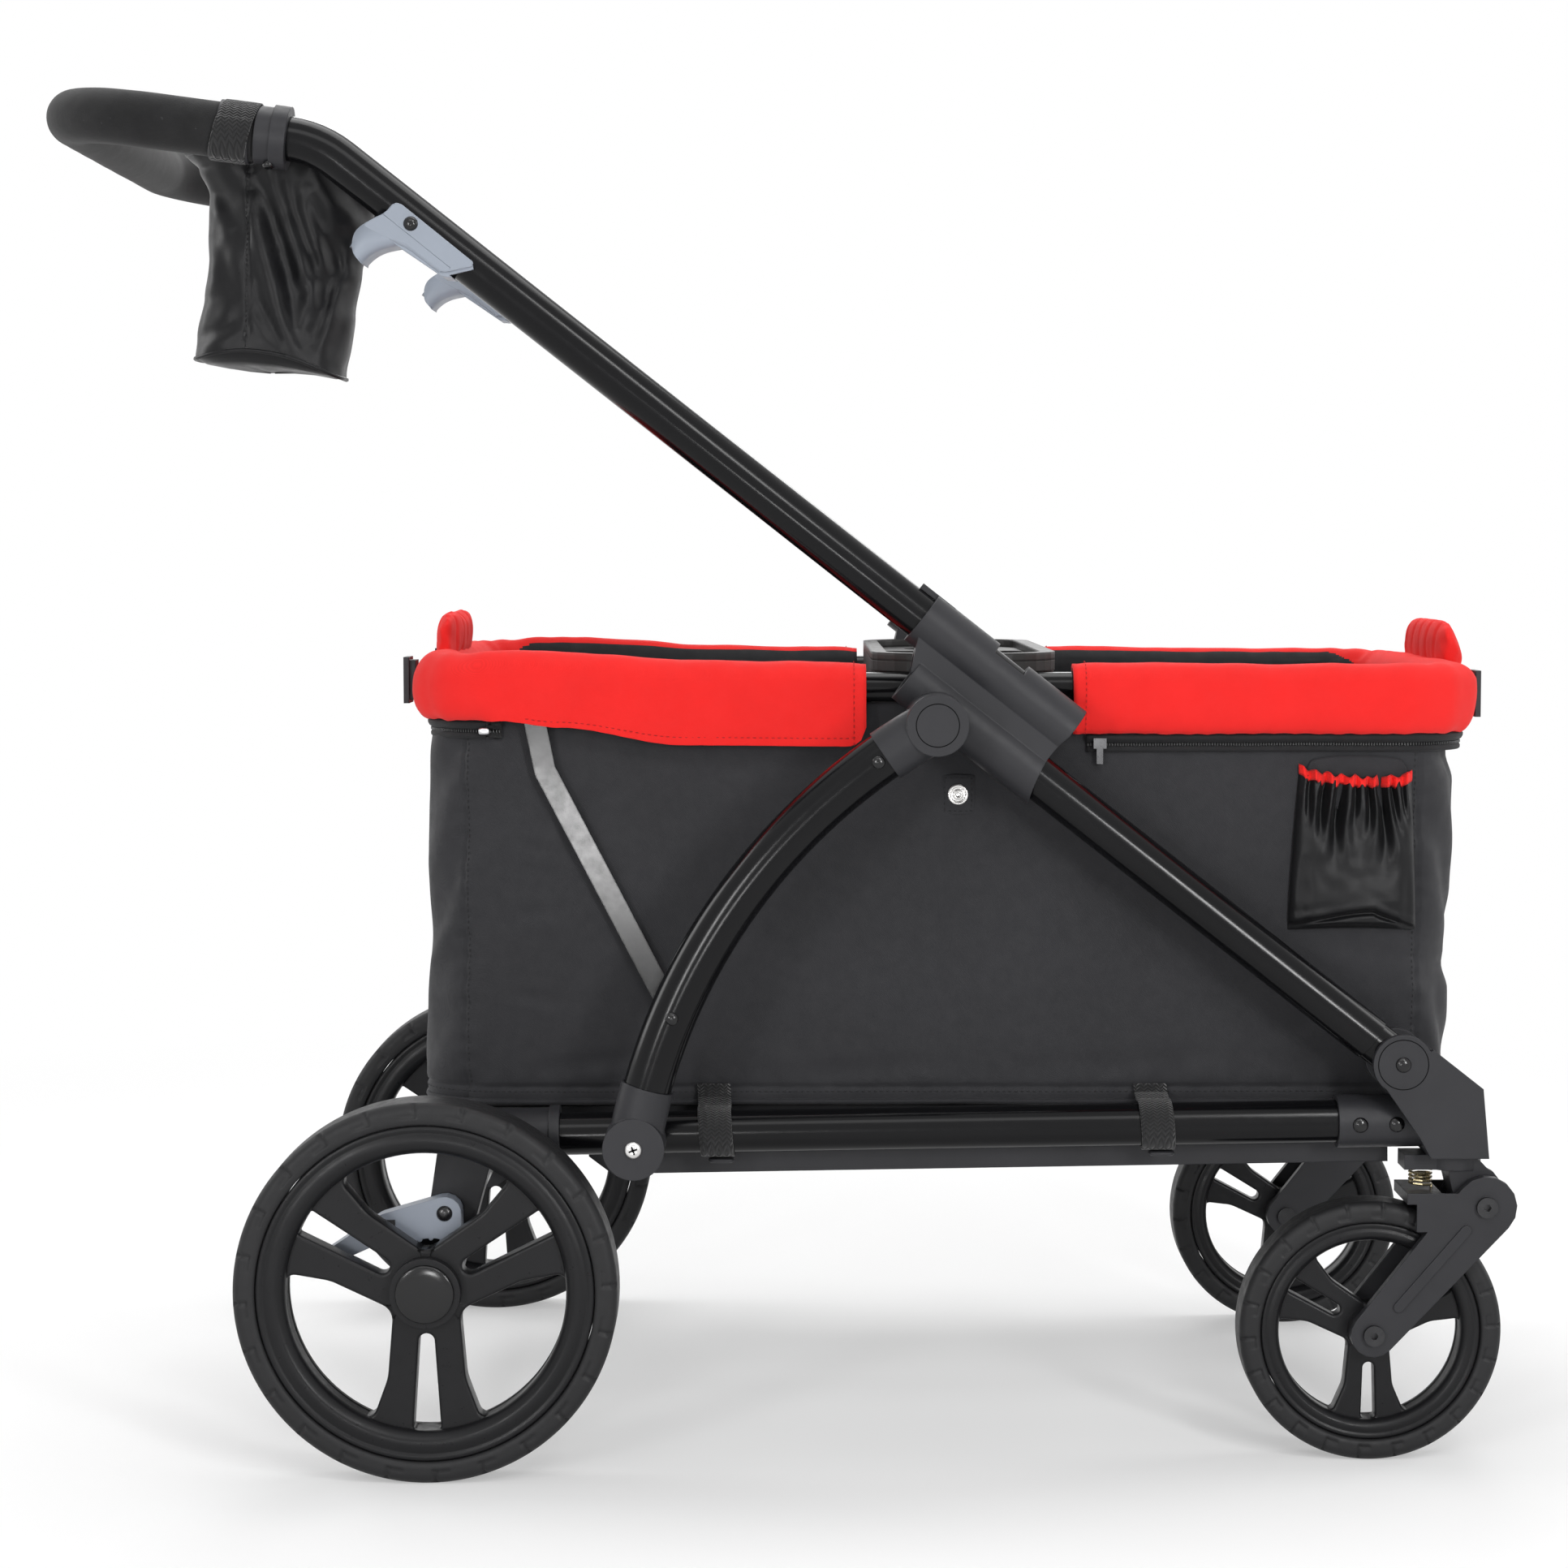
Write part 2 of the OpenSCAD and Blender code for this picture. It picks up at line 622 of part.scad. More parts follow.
// Collars at the grip's lower ends, and the strap with the pouch's pin on the right grip
strap_at = 50;
pouch_pin_r = 4;
pouch_pin_head_r = 7;
pouch_pin_head_t = 3;
hanger_gap = 2;
hanger_t = 3;
hanger_out = brace_spread - grip_d / 2 - fit - strap_t - hanger_gap;
pouch_pivot = handle_corner + (strap_at + strap_w / 2) * [-cos(grip_tilt), sin(grip_tilt)];
module grip_fittings() color("#2a2a2e") {
  for (s = [0, 1]) mirror([0, s, 0]) at_bend() {
    tube_x(handle_r + fit + collar_wall, collar_wall, -bend_tangent - collar_l,
      -bend_tangent - collar_l / 2);
    tube_x(handle_r + fit + collar_wall + collar_lip, collar_wall + collar_lip,
      -bend_tangent - collar_l / 2, -bend_tangent);
  }
  right() {
    at_bend() tube_x(grip_d / 2 + fit + strap_t, strap_t, -strap_at - strap_w, -strap_at);
    at_xz(pouch_pivot) {
      pin_y(pouch_pin_r, hanger_out - hanger_t - gap - pouch_pin_head_t,
        brace_spread - grip_d / 2 - fit - strap_t / 2);
      pin_y(pouch_pin_head_r, hanger_out - hanger_t - gap - pouch_pin_head_t,
        hanger_out - hanger_t - gap);
    }
  }
}

// Cup pouch that hangs inside the right grip from a pin on the strap
pouch_ahead = 82;
pouch_l = 124;
pouch_w = 102;
pouch_h = 146;
pouch_low = 183;
pouch_turn = 40;
pouch_wall = 3;
hanger_r = 10;
hanger_foot_r = 14;
pouch_lo = [pouch_pivot[0] + pouch_ahead - pouch_l, hanger_out - pouch_w];
pouch_hi = [pouch_pivot[0] + pouch_ahead, hanger_out];
module cup_pouch() color("#242427") right() difference() {
  union() {
    difference() {
      translate([0, 0, pouch_pivot[1] - pouch_low]) linear_extrude(pouch_h) polygon(rounded(pouch_lo,
        pouch_hi, pouch_turn));
      translate([0, 0, pouch_pivot[1] - pouch_low + pouch_wall]) linear_extrude(pouch_h)
        polygon(rounded(pouch_lo + [pouch_wall, pouch_wall], pouch_hi - [pouch_wall, pouch_wall],
          pouch_turn - pouch_wall));
    }
    plate(hanger_out - hanger_t, hanger_out) polygon(capsule(
      pouch_pivot, hanger_r, pouch_pivot + [0, pouch_h - pouch_low - hanger_foot_r], hanger_foot_r));
  }
  at_xz(pouch_pivot) pin_y(pouch_pin_r + fit, 0, brace_spread);
}

// Release lever: cheeks beside the tube, a web under it and a finger hook
lever_in = handle_r + gap;
lever_out = lever_in + lever_cheek;
module release_lever_left() color("#aab2be") translate([0, brace_spread, 0]) on_brace()
  translate([-lever_pin_along, 0, handle_offset]) {
    for (y = [-lever_out, lever_in]) plate(y, y + lever_cheek) polygon([
      [-lever_high_run, 0], [lever_low_run, 0], [lever_low_run + lever_cheek, -lever_cheek],
      [lever_low_run - 2 * lever_web_t, -lever_web_drop], [-lever_high_run,
        -lever_web_drop - lever_cheek],
      [-lever_high_run - lever_rest, -handle_r]
    ]);
    plate(-lever_out, lever_out) polygon([
      [lever_low_run - lever_web_t, -handle_r - gap], [0, -handle_r - gap], [-lever_rest,
        -lever_web_drop],
      [-lever_high_run, -lever_web_drop], [-lever_high_run, -lever_web_drop - lever_web_t],
      [0, -lever_web_drop - lever_web_t / 2], [lever_low_run - 2 * lever_web_t, -lever_web_drop]
    ]);
    plate(-lever_hook_half, lever_hook_half) translate([lever_hook_r - lever_high_run - lever_hook_t,
      -lever_web_drop - lever_hook_r]) polygon(concat(
        arc([0, 0], lever_hook_r + lever_hook_t, lever_hook_start, lever_hook_end),
        arc(lever_bite, lever_bite_r, lever_bite_start, 90)
      ));
    translate([0, 0, -lever_pin_drop]) {
      pin_y(lever_pin_r, -lever_out, lever_out);
      translate([0, lever_out, 0]) rivet(lever_head_r, lever_head_h);
    }
  }
module release_lever_right() right() release_lever_left();

// Rim of the tub: a closed loop of tube with ears for the struts
module rim_loop(r, wall) translate([0, 0, rim_z]) for (s = [0, 1]) mirror([0, s, 0]) {
  translate([0, rim_spread, 0]) tube_x(r, wall, rim_turn - rim_back, rim_front - rim_turn);
  for (e = [[rim_turn - rim_back, 90], [rim_front - rim_turn, 0]])
    translate([e[0], rim_spread - rim_turn, 0]) rotate([0, 0, e[1]])
      rotate_extrude(angle = 90) translate([rim_turn, 0]) ring_2d(r, wall);
  for (x = [-rim_back, rim_front])
    translate([x, 0, 0]) rotate([-90, 0, 0]) linear_extrude(rim_spread - rim_turn) ring_2d(r, wall);
}
strut_pivot = [strut_x, rim_z - strut_drop];
ear_r = 9;
module rim_rail() color("#1c1c1e") {
  difference() {
    union() {
      rim_loop(rim_r, tube_wall);
      for (s = [0, 1]) mirror([0, s, 0]) {
        ear_y = fabric_spread + strut_ear_gap;
        plate(ear_y, ear_y + strut_ear_t) polygon(capsule([strut_x, rim_z - rim_r / 2], ear_r,
          strut_pivot, ear_r));
        at_xz(strut_pivot) pin_y(strut_pin_r, ear_y, rim_spread + strut_in + strut_t + gap +
          strut_head_t);
        at_xz(strut_pivot) pin_y(strut_head_r, rim_spread + strut_in + strut_t + gap,
          rim_spread + strut_in + strut_t + gap + strut_head_t);
      }
    }
  }
}

// Flat struts from the rim down behind the legs
module struts() color("#141416") for (s = [0, 1]) mirror([0, s, 0]) difference() {
  plate(rim_spread + strut_in, rim_spread + strut_in + strut_t) union() {
    polygon(capsule(strut_pivot, strut_w / 2, strut_bend, strut_w / 2 - fit));
    polygon(capsule(strut_bend, strut_w / 2, strut_end, strut_w / 2 - fit));
  }
  at_xz(strut_pivot) pin_y(strut_pin_r + fit, 0, 2 * rim_spread);
}

// Bolster section beside the rim tube: outer skin and inner face, in step
sleeve_r = rim_r + sleeve_gap;
edge_shares = [[1, 0], [0.66, 0.75], [0.28, 1]];
over_angles = [10, 35, 62, 90, 118, 145, 172];
function bolster_edge(drop, reach, t) =
  [for (e = edge_shares) [reach + (bolster_out - reach) * e[1] - t, -drop * e[0]]];
function bolster_outer(drop, reach, up) = concat(
  bolster_edge(drop, reach, 0),
  [for (a = over_angles) [(a < 90 ? bolster_out : bolster_in) * cos(a), up * sin(a)]],
  [[-bolster_in, -lining_drop / 2], [-bolster_in, -lining_drop]]
);
function bolster_inner(drop, reach) = concat(
  bolster_edge(drop, reach, bolster_flap_t),
  [for (a = over_angles) sleeve_r * [cos(a), sin(a)]],
  [[-sleeve_r, -lining_drop / 2], [-sleeve_r, -lining_drop]]
);
// One half of the plan path: [x, y, heading of the outward normal, share along]
side_steps = 6;
turn_steps = 6;
function bolster_path(open_x, end_x) =
  let(dir = end_x < open_x ? -1 : 1, turn_x = end_x - dir * rim_turn)
  concat(
    [for (i = [0:side_steps]) [open_x + (turn_x - open_x) * i / side_steps, rim_spread, 90]],
    [for (i = [1:turn_steps]) let(a = 90 - dir * 90 * i / turn_steps)
      [turn_x + rim_turn * cos(a), rim_spread - rim_turn + rim_turn * sin(a), a]]
  );
function bolster_ring(p, drop, reach, up) =
  let(
    inner = bolster_inner(drop, reach),
    section = concat(bolster_outer(drop, reach, up), [for (i = [len(inner) - 1:-1:0]) inner[i]])
  )
  [for (q = section) [p[0] + q[0] * cos(p[2]), p[1] + q[0] * sin(p[2]), rim_z + q[1]]];
// Two contours joined by end strips, every face a triangle
module bolster(open_x, end_x, drops, reaches, ups) {
  half = bolster_path(open_x, end_x);
  k = len(half);
  path = concat(half, [for (i = [k - 1:-1:0]) [half[i][0], -half[i][1], -half[i][2]]]);
  m = len(path);
  rings = [for (i = [0:m - 1])
    let(t = min(i, m - 1 - i) / (k - 1), hem = t == 0 ? hem_share : 1)
    bolster_ring(path[i], lookup(t, drops), lookup(t, reaches), hem * lookup(t, ups))];
  n = len(rings[0]);
  flip = end_x < open_x;
  quads = concat(
    [for (j = [0:m - 2], i = [0:n - 1]) let(b = (i + 1) % n) [j * n + i, j * n + b, (j + 1) * n + b,
      (j + 1) * n + i]],
    [for (i = [0:n / 2 - 2]) [n - 1 - i, n - 2 - i, i + 1, i]],
    [for (i = [0:n / 2 - 2]) let(o = (m - 1) * n) [o + i, o + i + 1, o + n - 2 - i, o + n - 1 - i]]
  );
  faces = [for (q = quads, h = [0, 1]) let(f = h == 0 ? [q[0], q[1], q[2]] : [q[0], q[2], q[3]])
    flip ? [f[2], f[1], f[0]] : f];
  polyhedron([for (r = rings) for (p = r) p], faces);
}
module bolster_rear() color("#fd2823") difference() {
  bolster(rear_bolster_x, -rim_back, rear_drops, rear_reaches, rear_ups);
  for (y = [-clip_spread, clip_spread]) translate([-rim_back, y, rim_z]) mirror([1, 0, 0])
    clip_stem(gap, cut);
}
module bolster_front() color("#fd2823") difference() {
  bolster(front_bolster_x, rim_front, front_drops, front_reaches, front_ups);
  for (y = [-clip_spread, clip_spread]) translate([rim_front, y, rim_z]) clip_stem(gap, cut);
}

// Head pads on the end bolsters: crowned slabs with upright channels
pad_half_w = 95;
pad_rear_t = 32;
pad_rear_h = 35;
pad_front_h = 34;
pad_rear_lean = -1.3;
pad_front_drop = 1.2;
pad_rings = 20;
pad_sides = 12;
pad_channels = 5;
pad_channel_share = 0.1;
pad_power = 0.5;
function even(v, p) = sign(v) * pow(abs(v), p);
module head_pad(x, t, h, base) {
  skin([for (k = [0:pad_rings]) let(
      v = -1 + 2 * k / pad_rings,
      draw = pow(max(1 - pow(abs(v), 4), 0.004), 0.25),
      dip = 1 - pad_channel_share * pow(abs(cos(90 * pad_channels * (v + 1))), 6)
    ) [for (i = [0:pad_sides - 1]) let(a = -360 * i / pad_sides)
      [x + t / 2 * draw * dip * even(cos(a), pad_power), v * pad_half_w, base + h / 2 +
        h / 2 * draw * even(sin(a), pad_power)]]]);
}
module head_pad_rear() color("#fd2823") head_pad(-rim_back + pad_rear_lean, pad_rear_t, pad_rear_h,
  rim_z + rear_up + gap);
module head_pad_front() color("#fd2823") head_pad(rim_front + pad_front_lean, pad_front_t, pad_front_h,
  rim_z + front_up + gap - pad_front_drop);

// Accessory brackets: plates on stems that come from the rim through slits in the end bolsters
clip_spread = 120;
clip_half = 15;
clip_block_half = 11;
clip_block_t = 5;
clip_front_block_t = 1.8;
clip_plate_t = 4.5;
clip_h = 37;
clip_lip = 2.5;
clip_rear_low = 15.5;
clip_front_low = 27.5;
stem_half_w = 8;
stem_half_h = 5;
module clip_stem(room, past) translate([rim_r + gap - past * room, -stem_half_w - room,
  -stem_half_h - room])
  cube([bolster_out - rim_r + past, 2 * (stem_half_w + room), 2 * (stem_half_h + room)]);
module accessory_clip(low, block_t) {
  face = bolster_out + gap;
  translate([0, 0, rim_z]) clip_stem(0, cut);
  translate([face, -clip_block_half, rim_z - low + clip_lip]) cube([block_t, 2 * clip_block_half,
    clip_h - 2 * clip_lip]);
  translate([face + block_t, -clip_half, rim_z - low]) cube([clip_plate_t, 2 * clip_half, clip_h]);
}
module accessory_brackets() color("#1a1a1c") for (y = [-clip_spread, clip_spread]) {
  translate([rim_front, y, 0]) accessory_clip(clip_front_low, clip_front_block_t);
  translate([-rim_back, y, 0]) mirror([1, 0, 0]) accessory_clip(clip_rear_low, clip_block_t);
}

// Child tray across the rims, with cup wells
tray_x = [341, 487];
tray_spread = 215;
tray_pan_spread = 186;
tray_turn = 60;
tray_pan_turn = 40;
tray_lip_t = 8;
tray_depth = 34;
tray_floor = 4;
tray_edge = 12;
cup_r = 38;
cup_spread = 125;
tray_rim_h = 6.5;
tray_well_half = 70;
lip_z = rim_z + rim_r + gap;
module tray_body() color("#3a3836") difference() {
  union() {
    translate([0, 0, lip_z]) linear_extrude(tray_lip_t)
      polygon(rounded([tray_x[0], -tray_spread], [tray_x[1], tray_spread], tray_turn));
    translate([0, 0, lip_z + tray_lip_t - tray_depth]) linear_extrude(tray_depth)
      polygon(rounded([tray_x[0], -tray_pan_spread], [tray_x[1], tray_pan_spread], tray_pan_turn));
  }
  for (y = [-cup_spread, cup_spread])
    translate([(tray_x[0] + tray_x[1]) / 2, y, lip_z + tray_lip_t - tray_depth + tray_floor])
      cylinder(r = cup_r, h = tray_depth);
  translate([0, 0, lip_z + tray_lip_t - tray_depth / 2]) linear_extrude(tray_depth)
    polygon(rounded([tray_x[0] + tray_edge, -tray_well_half], [tray_x[1] - tray_edge, tray_well_half],
      tray_edge));
}
module tray_rim() color("#78736e") translate([0, 0, lip_z + tray_lip_t]) difference() {
  linear_extrude(tray_rim_h) polygon(rounded([tray_x[0], -tray_spread], [tray_x[1], tray_spread],
    tray_turn));
  translate([0, 0, -cut]) linear_extrude(tray_rim_h + 2 * cut)
    polygon(rounded([tray_x[0] + tray_edge, -tray_spread + tray_edge], [tray_x[1] - tray_edge,
      tray_spread - tray_edge], tray_turn - tray_edge));
}

// Zip bands under the bolsters
zip_t = 4;
zip_h = 14;
zip_front_x = 508;
zip_rear_x = 44;
zip_rear_z = rim_z - rear_drop - gap - zip_h;
zip_front_z = rim_z - front_drop - gap - zip_h;
module zip_bands() color("#161618") {
  translate([0, 0, zip_rear_z]) linear_extrude(zip_h)
    tub_band(wall_out + gap, wall_out + gap + zip_t, -rim_back - rim_turn, zip_rear_x);
  translate([0, 0, zip_front_z]) linear_extrude(zip_h)
    tub_band(wall_out + gap, wall_out + gap + zip_t, zip_front_x, rim_front + rim_turn);
}

// Zip slider with its pull on the right side
slider = [10, 3.5, 8];
pull = [5, 1.6, 12];
module zip_slider() color("#9a9da2") right()
  translate([zip_front_x + slider[0] / 2, fabric_spread + 2 * gap + zip_t, zip_front_z +
    zip_h / 2 - slider[2] / 2]) {
    cube(slider);
    translate([(slider[0] - pull[0]) / 2, (slider[1] - pull[1]) / 2, -pull[2]]) cube(pull + [0, 0, cut]);
  }

// Caster heads turn in the brackets
module caster_head_left() color("#232327") translate([0, rail_spread, 0]) difference() {
  union() {
    translate([swivel_x, 0, seat_top_z]) cylinder(r = head_r, h = shoulder_h);
    translate([swivel_x, 0, head_top - cut]) cylinder(r = stem_r, h = stem_l + cut);
    plate(-lobe_half, lobe_half) polygon(capsule([swivel_x + lobe_ahead, head_top - lobe_neck_r],
      lobe_neck_r, fork_pivot, lobe_r));
    translate([swivel_x - seat_back - seat_half_x, -seat_half_x, seat_top_z])
      cube([seat_back + seat_half_x, 2 * seat_half_x, shoulder_h]);
  }
  at_xz(fork_pivot) pin_y(pin_r + fit, -rail_d, rail_d);
}
module caster_head_right() right() caster_head_left();

// Caster springs: one tube wound round a post line, ends standing square on their seats
spring_wire = 2.2;
spring_turn = 8.5;
spring_curls = 4;
spring_rings = 8;
spring_sides = 6;
spring_x = swivel_x - seat_back;
spring_low = crown_top_z + gap / 3;
spring_high = seat_top_z - gap / 3;
spring_steps = spring_curls * spring_rings;
spring_rise = (spring_high - spring_low - 2 * spring_wire) / spring_steps;
function spring_point(i) = spring_turn * [cos(360 * i / spring_rings), sin(360 * i / spring_rings), 0]
  + [0, 0, spring_low + spring_wire + spring_rise * i];
spring_line = concat(
  [spring_point(0) - [0, 0, spring_wire]],
  [for (i = [0:spring_steps]) spring_point(i)],
  [spring_point(spring_steps) + [0, 0, spring_wire]]
);
function unit(v) = v / norm(v);
function spring_ring(i) =
  let(
    last = len(spring_line) - 1,
    end = i == 0 || i == last,
    ahead = end ? [0, 0, 1] : unit(unit(spring_line[i + 1] - spring_line[i]) +
      unit(spring_line[i] - spring_line[i - 1])),
    out = unit([spring_line[i][0], spring_line[i][1], 0]),
    flat = unit(out - ahead * (out * ahead)),
    side = cross(ahead, flat)
  )
  [for (j = [0:spring_sides - 1]) let(a = -360 * j / spring_sides)
    spring_line[i] + spring_wire / 2 * (cos(a) * flat + sin(a) * side)];
spring_gap = min([for (i = [1:spring_steps - spring_rings + 1], j = [i + spring_rings - 2:min(i +
  spring_rings + 2, spring_steps + 1)])
  norm(spring_line[j] - spring_line[i]) - spring_wire]);
echo(spring_gap = spring_gap);
module caster_spring_left() color("#c9b36a") translate([spring_x, rail_spread, 0])
  skin([for (i = [0:len(spring_line) - 1]) spring_ring(i)]);
module caster_spring_right() right() caster_spring_left();

// Trailing forks with the lower spring seat between their arms
rib_t = 2;
rib_half = 4;
rib_shares = [0.22, 0.82];
crown_front = 34;
gusset_t = 3;
gusset_drop = 30;
module trailing_fork_left() color("#232327") translate([0, rail_spread, 0]) difference() {
  union() {
    for (y = [-fork_outer, fork_inner]) plate(y, y + fork_t) polygon(capsule(fork_pivot, fork_r_top,
      front_axle, fork_r_low));
    plate(fork_outer - cut, fork_outer + rib_t) polygon(capsule(
      front_axle + rib_shares[0] * (fork_pivot - front_axle), rib_half,
      front_axle + rib_shares[1] * (fork_pivot - front_axle), rib_half + fit));
    translate([spring_x - seat_half_x, -fork_outer, crown_top_z - crown_t])
      cube([fork_pivot[0] - crown_front - spring_x + seat_half_x, 2 * fork_outer, crown_t]);
    for (y = [-fork_outer, fork_outer - gusset_t])
      translate([spring_x - seat_half_x / 2, y, crown_top_z - gusset_drop])
        cube([fork_pivot[0] - spring_x, gusset_t, gusset_drop]);
  }
  at_xz(fork_pivot) pin_y(pin_r + fit, -rail_d - cut, rail_d + cut);
  at_xz(front_axle) pin_y(pin_r + fit, -rail_d - cut, rail_d + cut);
}
module trailing_fork_right() right() trailing_fork_left();

// Fork pivot bolt and wheel axle bolt
bolt_head_r = 8;
bolt_head_h = 4;
bolt_socket_r = 3;
module fork_bolt() difference() {
  union() {
    pin_y(pin_r, -fork_outer - fit, fork_outer + fit);
    pin_y(bolt_head_r, fork_outer + fit, fork_outer + fit + bolt_head_h);
    pin_y(bolt_head_r, -fork_outer - fit - bolt_head_h, -fork_outer - fit);
  }
  translate([0, fork_outer + fit + bolt_head_h, 0]) rotate([90, 0, 0]) cylinder(r = bolt_socket_r,
    h = 2 * bolt_head_h, center = true, $fn = 6);
}
module fork_bolts_left() color("#7f8186") translate([0, rail_spread, 0]) {
  at_xz(fork_pivot) fork_bolt();
  at_xz(front_axle) fork_bolt();
}
module fork_bolts_right() right() fork_bolts_left();

// Wheels, drawn with the axle as local Z and the outer face up
module on_axle(p, y) translate([p[0], y, p[1]]) rotate([-90, 0, 0]) children();
tread_turn_share = 0.42;
module tyre(d, w, seat_r) rotate_extrude() polygon(concat(
  [[seat_r, -w / 2 + (d / 2 - seat_r) * tread_turn_share / 2]],
  [for (i = [0:arc_steps]) let(a = -90 + 90 * i / arc_steps, r = (d / 2 - seat_r) * tread_turn_share)
    [d / 2 - r + r * cos(a), -w / 2 + r + r * sin(a)]],
  [for (i = [0:arc_steps]) let(a = 90 * i / arc_steps, r = (d / 2 - seat_r) * tread_turn_share)
    [d / 2 - r + r * cos(a), w / 2 - r + r * sin(a)]],
  [[seat_r, w / 2 - (d / 2 - seat_r) * tread_turn_share / 2]]
));
// Rim band, three twin spokes with tapered slots, and the hub barrel
spoke_count = 3;
module wheel_rim(seat_r, band_r, band_w, hub_r, hub_lo, hub_hi, spoke_t, foot_half, tip_half,
  slot_foot, slot_half, slot_tip_half, bore_r) {
  bevel = (seat_r - band_r) / 4;
  difference() {
    union() {
      rotate_extrude() polygon([
        [band_r, -band_w / 2 + bevel], [band_r + bevel, -band_w / 2], [seat_r - fit, -band_w / 2],
        [seat_r - fit, band_w / 2], [band_r + bevel, band_w / 2], [band_r, band_w / 2 - bevel]
      ]);
      translate([0, 0, hub_lo]) cylinder(r = hub_r, h = hub_hi - hub_lo);
      for (k = [0:spoke_count - 1]) rotate([0, 0, 90 + 360 * k / spoke_count]) difference() {
        translate([0, 0, -spoke_t / 2]) linear_extrude(spoke_t) polygon([
          [0, -foot_half], [hub_r, -foot_half], [(hub_r + band_r) / 2, -(foot_half * 2 +
            tip_half) / 3], [band_r + bevel, -tip_half],
          [band_r + bevel, tip_half], [(hub_r + band_r) / 2, (foot_half * 2 + tip_half) / 3], [hub_r,
            foot_half], [0, foot_half]
        ]);
        translate([0, 0, -spoke_t]) linear_extrude(2 * spoke_t) polygon(concat(
          arc([slot_foot + slot_half, 0], slot_half, 270, 90),
          [[band_r + bevel / 2, slot_tip_half], [band_r + bevel / 2, -slot_tip_half]]
        ));
      }
    }
    translate([0, 0, hub_lo - cut]) cylinder(r = bore_r, h = hub_hi - hub_lo + 2 * cut);
  }
}
rear_tyre_t = 17.4;
rear_seat_r = rear_wheel_d / 2 - rear_tyre_t;
rear_band_wall = 21.6;
rear_band_w = 38;
rear_spoke_t = 18;
rear_spoke_foot = 23.2;
rear_spoke_tip = 41.3;
rear_slot_foot = 32.3;
rear_slot_half = 6.5;
rear_slot_tip = 11;
rear_hub_r = 27;
drum_r = 27;
drum_l = 14;
drum_teeth = 12;
drum_tooth_r = 2;
hub_cap_r = 21.7;
hub_cap_t = 3;
module rear_rim_left() color("#232327") on_axle([0, rear_axle_z], rear_spread) {
  wheel_rim(
    rear_seat_r, rear_seat_r - rear_band_wall, rear_band_w,
    rear_hub_r, -rear_tyre_w / 2, rear_tyre_w / 2 - hub_cap_t,
    rear_spoke_t, rear_spoke_foot, rear_spoke_tip,
    rear_slot_foot, rear_slot_half, rear_slot_tip, axle_r + fit
  );
  translate([0, 0, -rear_tyre_w / 2 - drum_l]) difference() {
    cylinder(r = drum_r, h = drum_l - fit);
    translate([0, 0, -cut]) cylinder(r = axle_r + fit, h = drum_l + 2 * cut);
    for (k = [0:drum_teeth - 1]) rotate([0, 0, 360 * k / drum_teeth])
      translate([drum_r, 0, -cut]) cylinder(r = drum_tooth_r, h = drum_l + cut - hub_cap_t);
  }
  translate([0, 0, rear_tyre_w / 2 - hub_cap_t + fit]) cylinder(r = hub_cap_r, h = hub_cap_t);
}
module rear_rim_right() right() rear_rim_left();
module rear_tyre_left() color("#1f1f22") on_axle([0, rear_axle_z], rear_spread) tyre(rear_wheel_d,
  rear_tyre_w, rear_seat_r);
module rear_tyre_right() right() rear_tyre_left();
front_tyre_t = 16.5;
front_seat_r = front_wheel_d / 2 - front_tyre_t;
front_band_wall = 14;
front_band_w = 30;
front_spoke_t = 15;
front_spoke_foot = 13.5;
front_spoke_tip = 28;
front_slot_foot = 26;
front_slot_half = 4.8;
front_slot_tip = 6;
front_hub_r = 17;
module front_rim_left() color("#232327") on_axle(front_axle, rail_spread)
  wheel_rim(
    front_seat_r, front_seat_r - front_band_wall, front_band_w,
    front_hub_r, -front_tyre_w / 2 - fork_gap + gap, front_tyre_w / 2 + fork_gap - gap,
    front_spoke_t, front_spoke_foot, front_spoke_tip,
    front_slot_foot, front_slot_half, front_slot_tip, pin_r + fit
  );
module front_rim_right() right() front_rim_left();
module front_tyre_left() color("#1f1f22") on_axle(front_axle, rail_spread) tyre(front_wheel_d,
  front_tyre_w, front_seat_r);
module front_tyre_right() right() front_tyre_left();

// Brake pedals on the housings, with a toothed belly over the wheel's drum
pedal_in = 19;
pedal_t = 17;
pedal_r = 13;
pedal_mid = [-45, -10];
pedal_mid_r = 10;
pedal_tip = [-92, -36];
pedal_tip_r = 5.5;
pedal_belly_r = 33;
pedal_skirt = 23;
pedal_tread_w = 30;
pedal_window = [14, 10];
pedal_tooth_r = 1.8;
module brake_pedal_left() color("#788290") translate([0, rail_spread, 0]) difference() {
  union() {
    plate(pedal_in, pedal_in + pedal_t) difference() {
      translate(pedal_pivot) union() {
        polygon(capsule([0, 0], pedal_r, pedal_mid, pedal_mid_r));
        polygon(capsule(pedal_mid, pedal_mid_r, pedal_tip, pedal_tip_r));
        translate([pedal_mid[0], -pedal_skirt]) square([pedal_r - pedal_mid[0], pedal_skirt]);
      }
      translate([0, rear_axle_z]) circle(pedal_belly_r);
      translate(pedal_pivot + pedal_mid - pedal_window / 2) square(pedal_window);
    }
    plate(pedal_in, pedal_in + pedal_t) for (a = [60:15:120])
      translate([pedal_belly_r * cos(a), rear_axle_z + pedal_belly_r * sin(a)]) circle(pedal_tooth_r);
    at_xz(pedal_pivot) {
      pin_y(pedal_pin_r, housing_half - pedal_pin_in, pedal_in + cut);
      translate([0, pedal_in + pedal_t, 0]) rivet(pin_head_r, head_h);
    }
  }
}
module brake_pedal_right() right() brake_pedal_left();

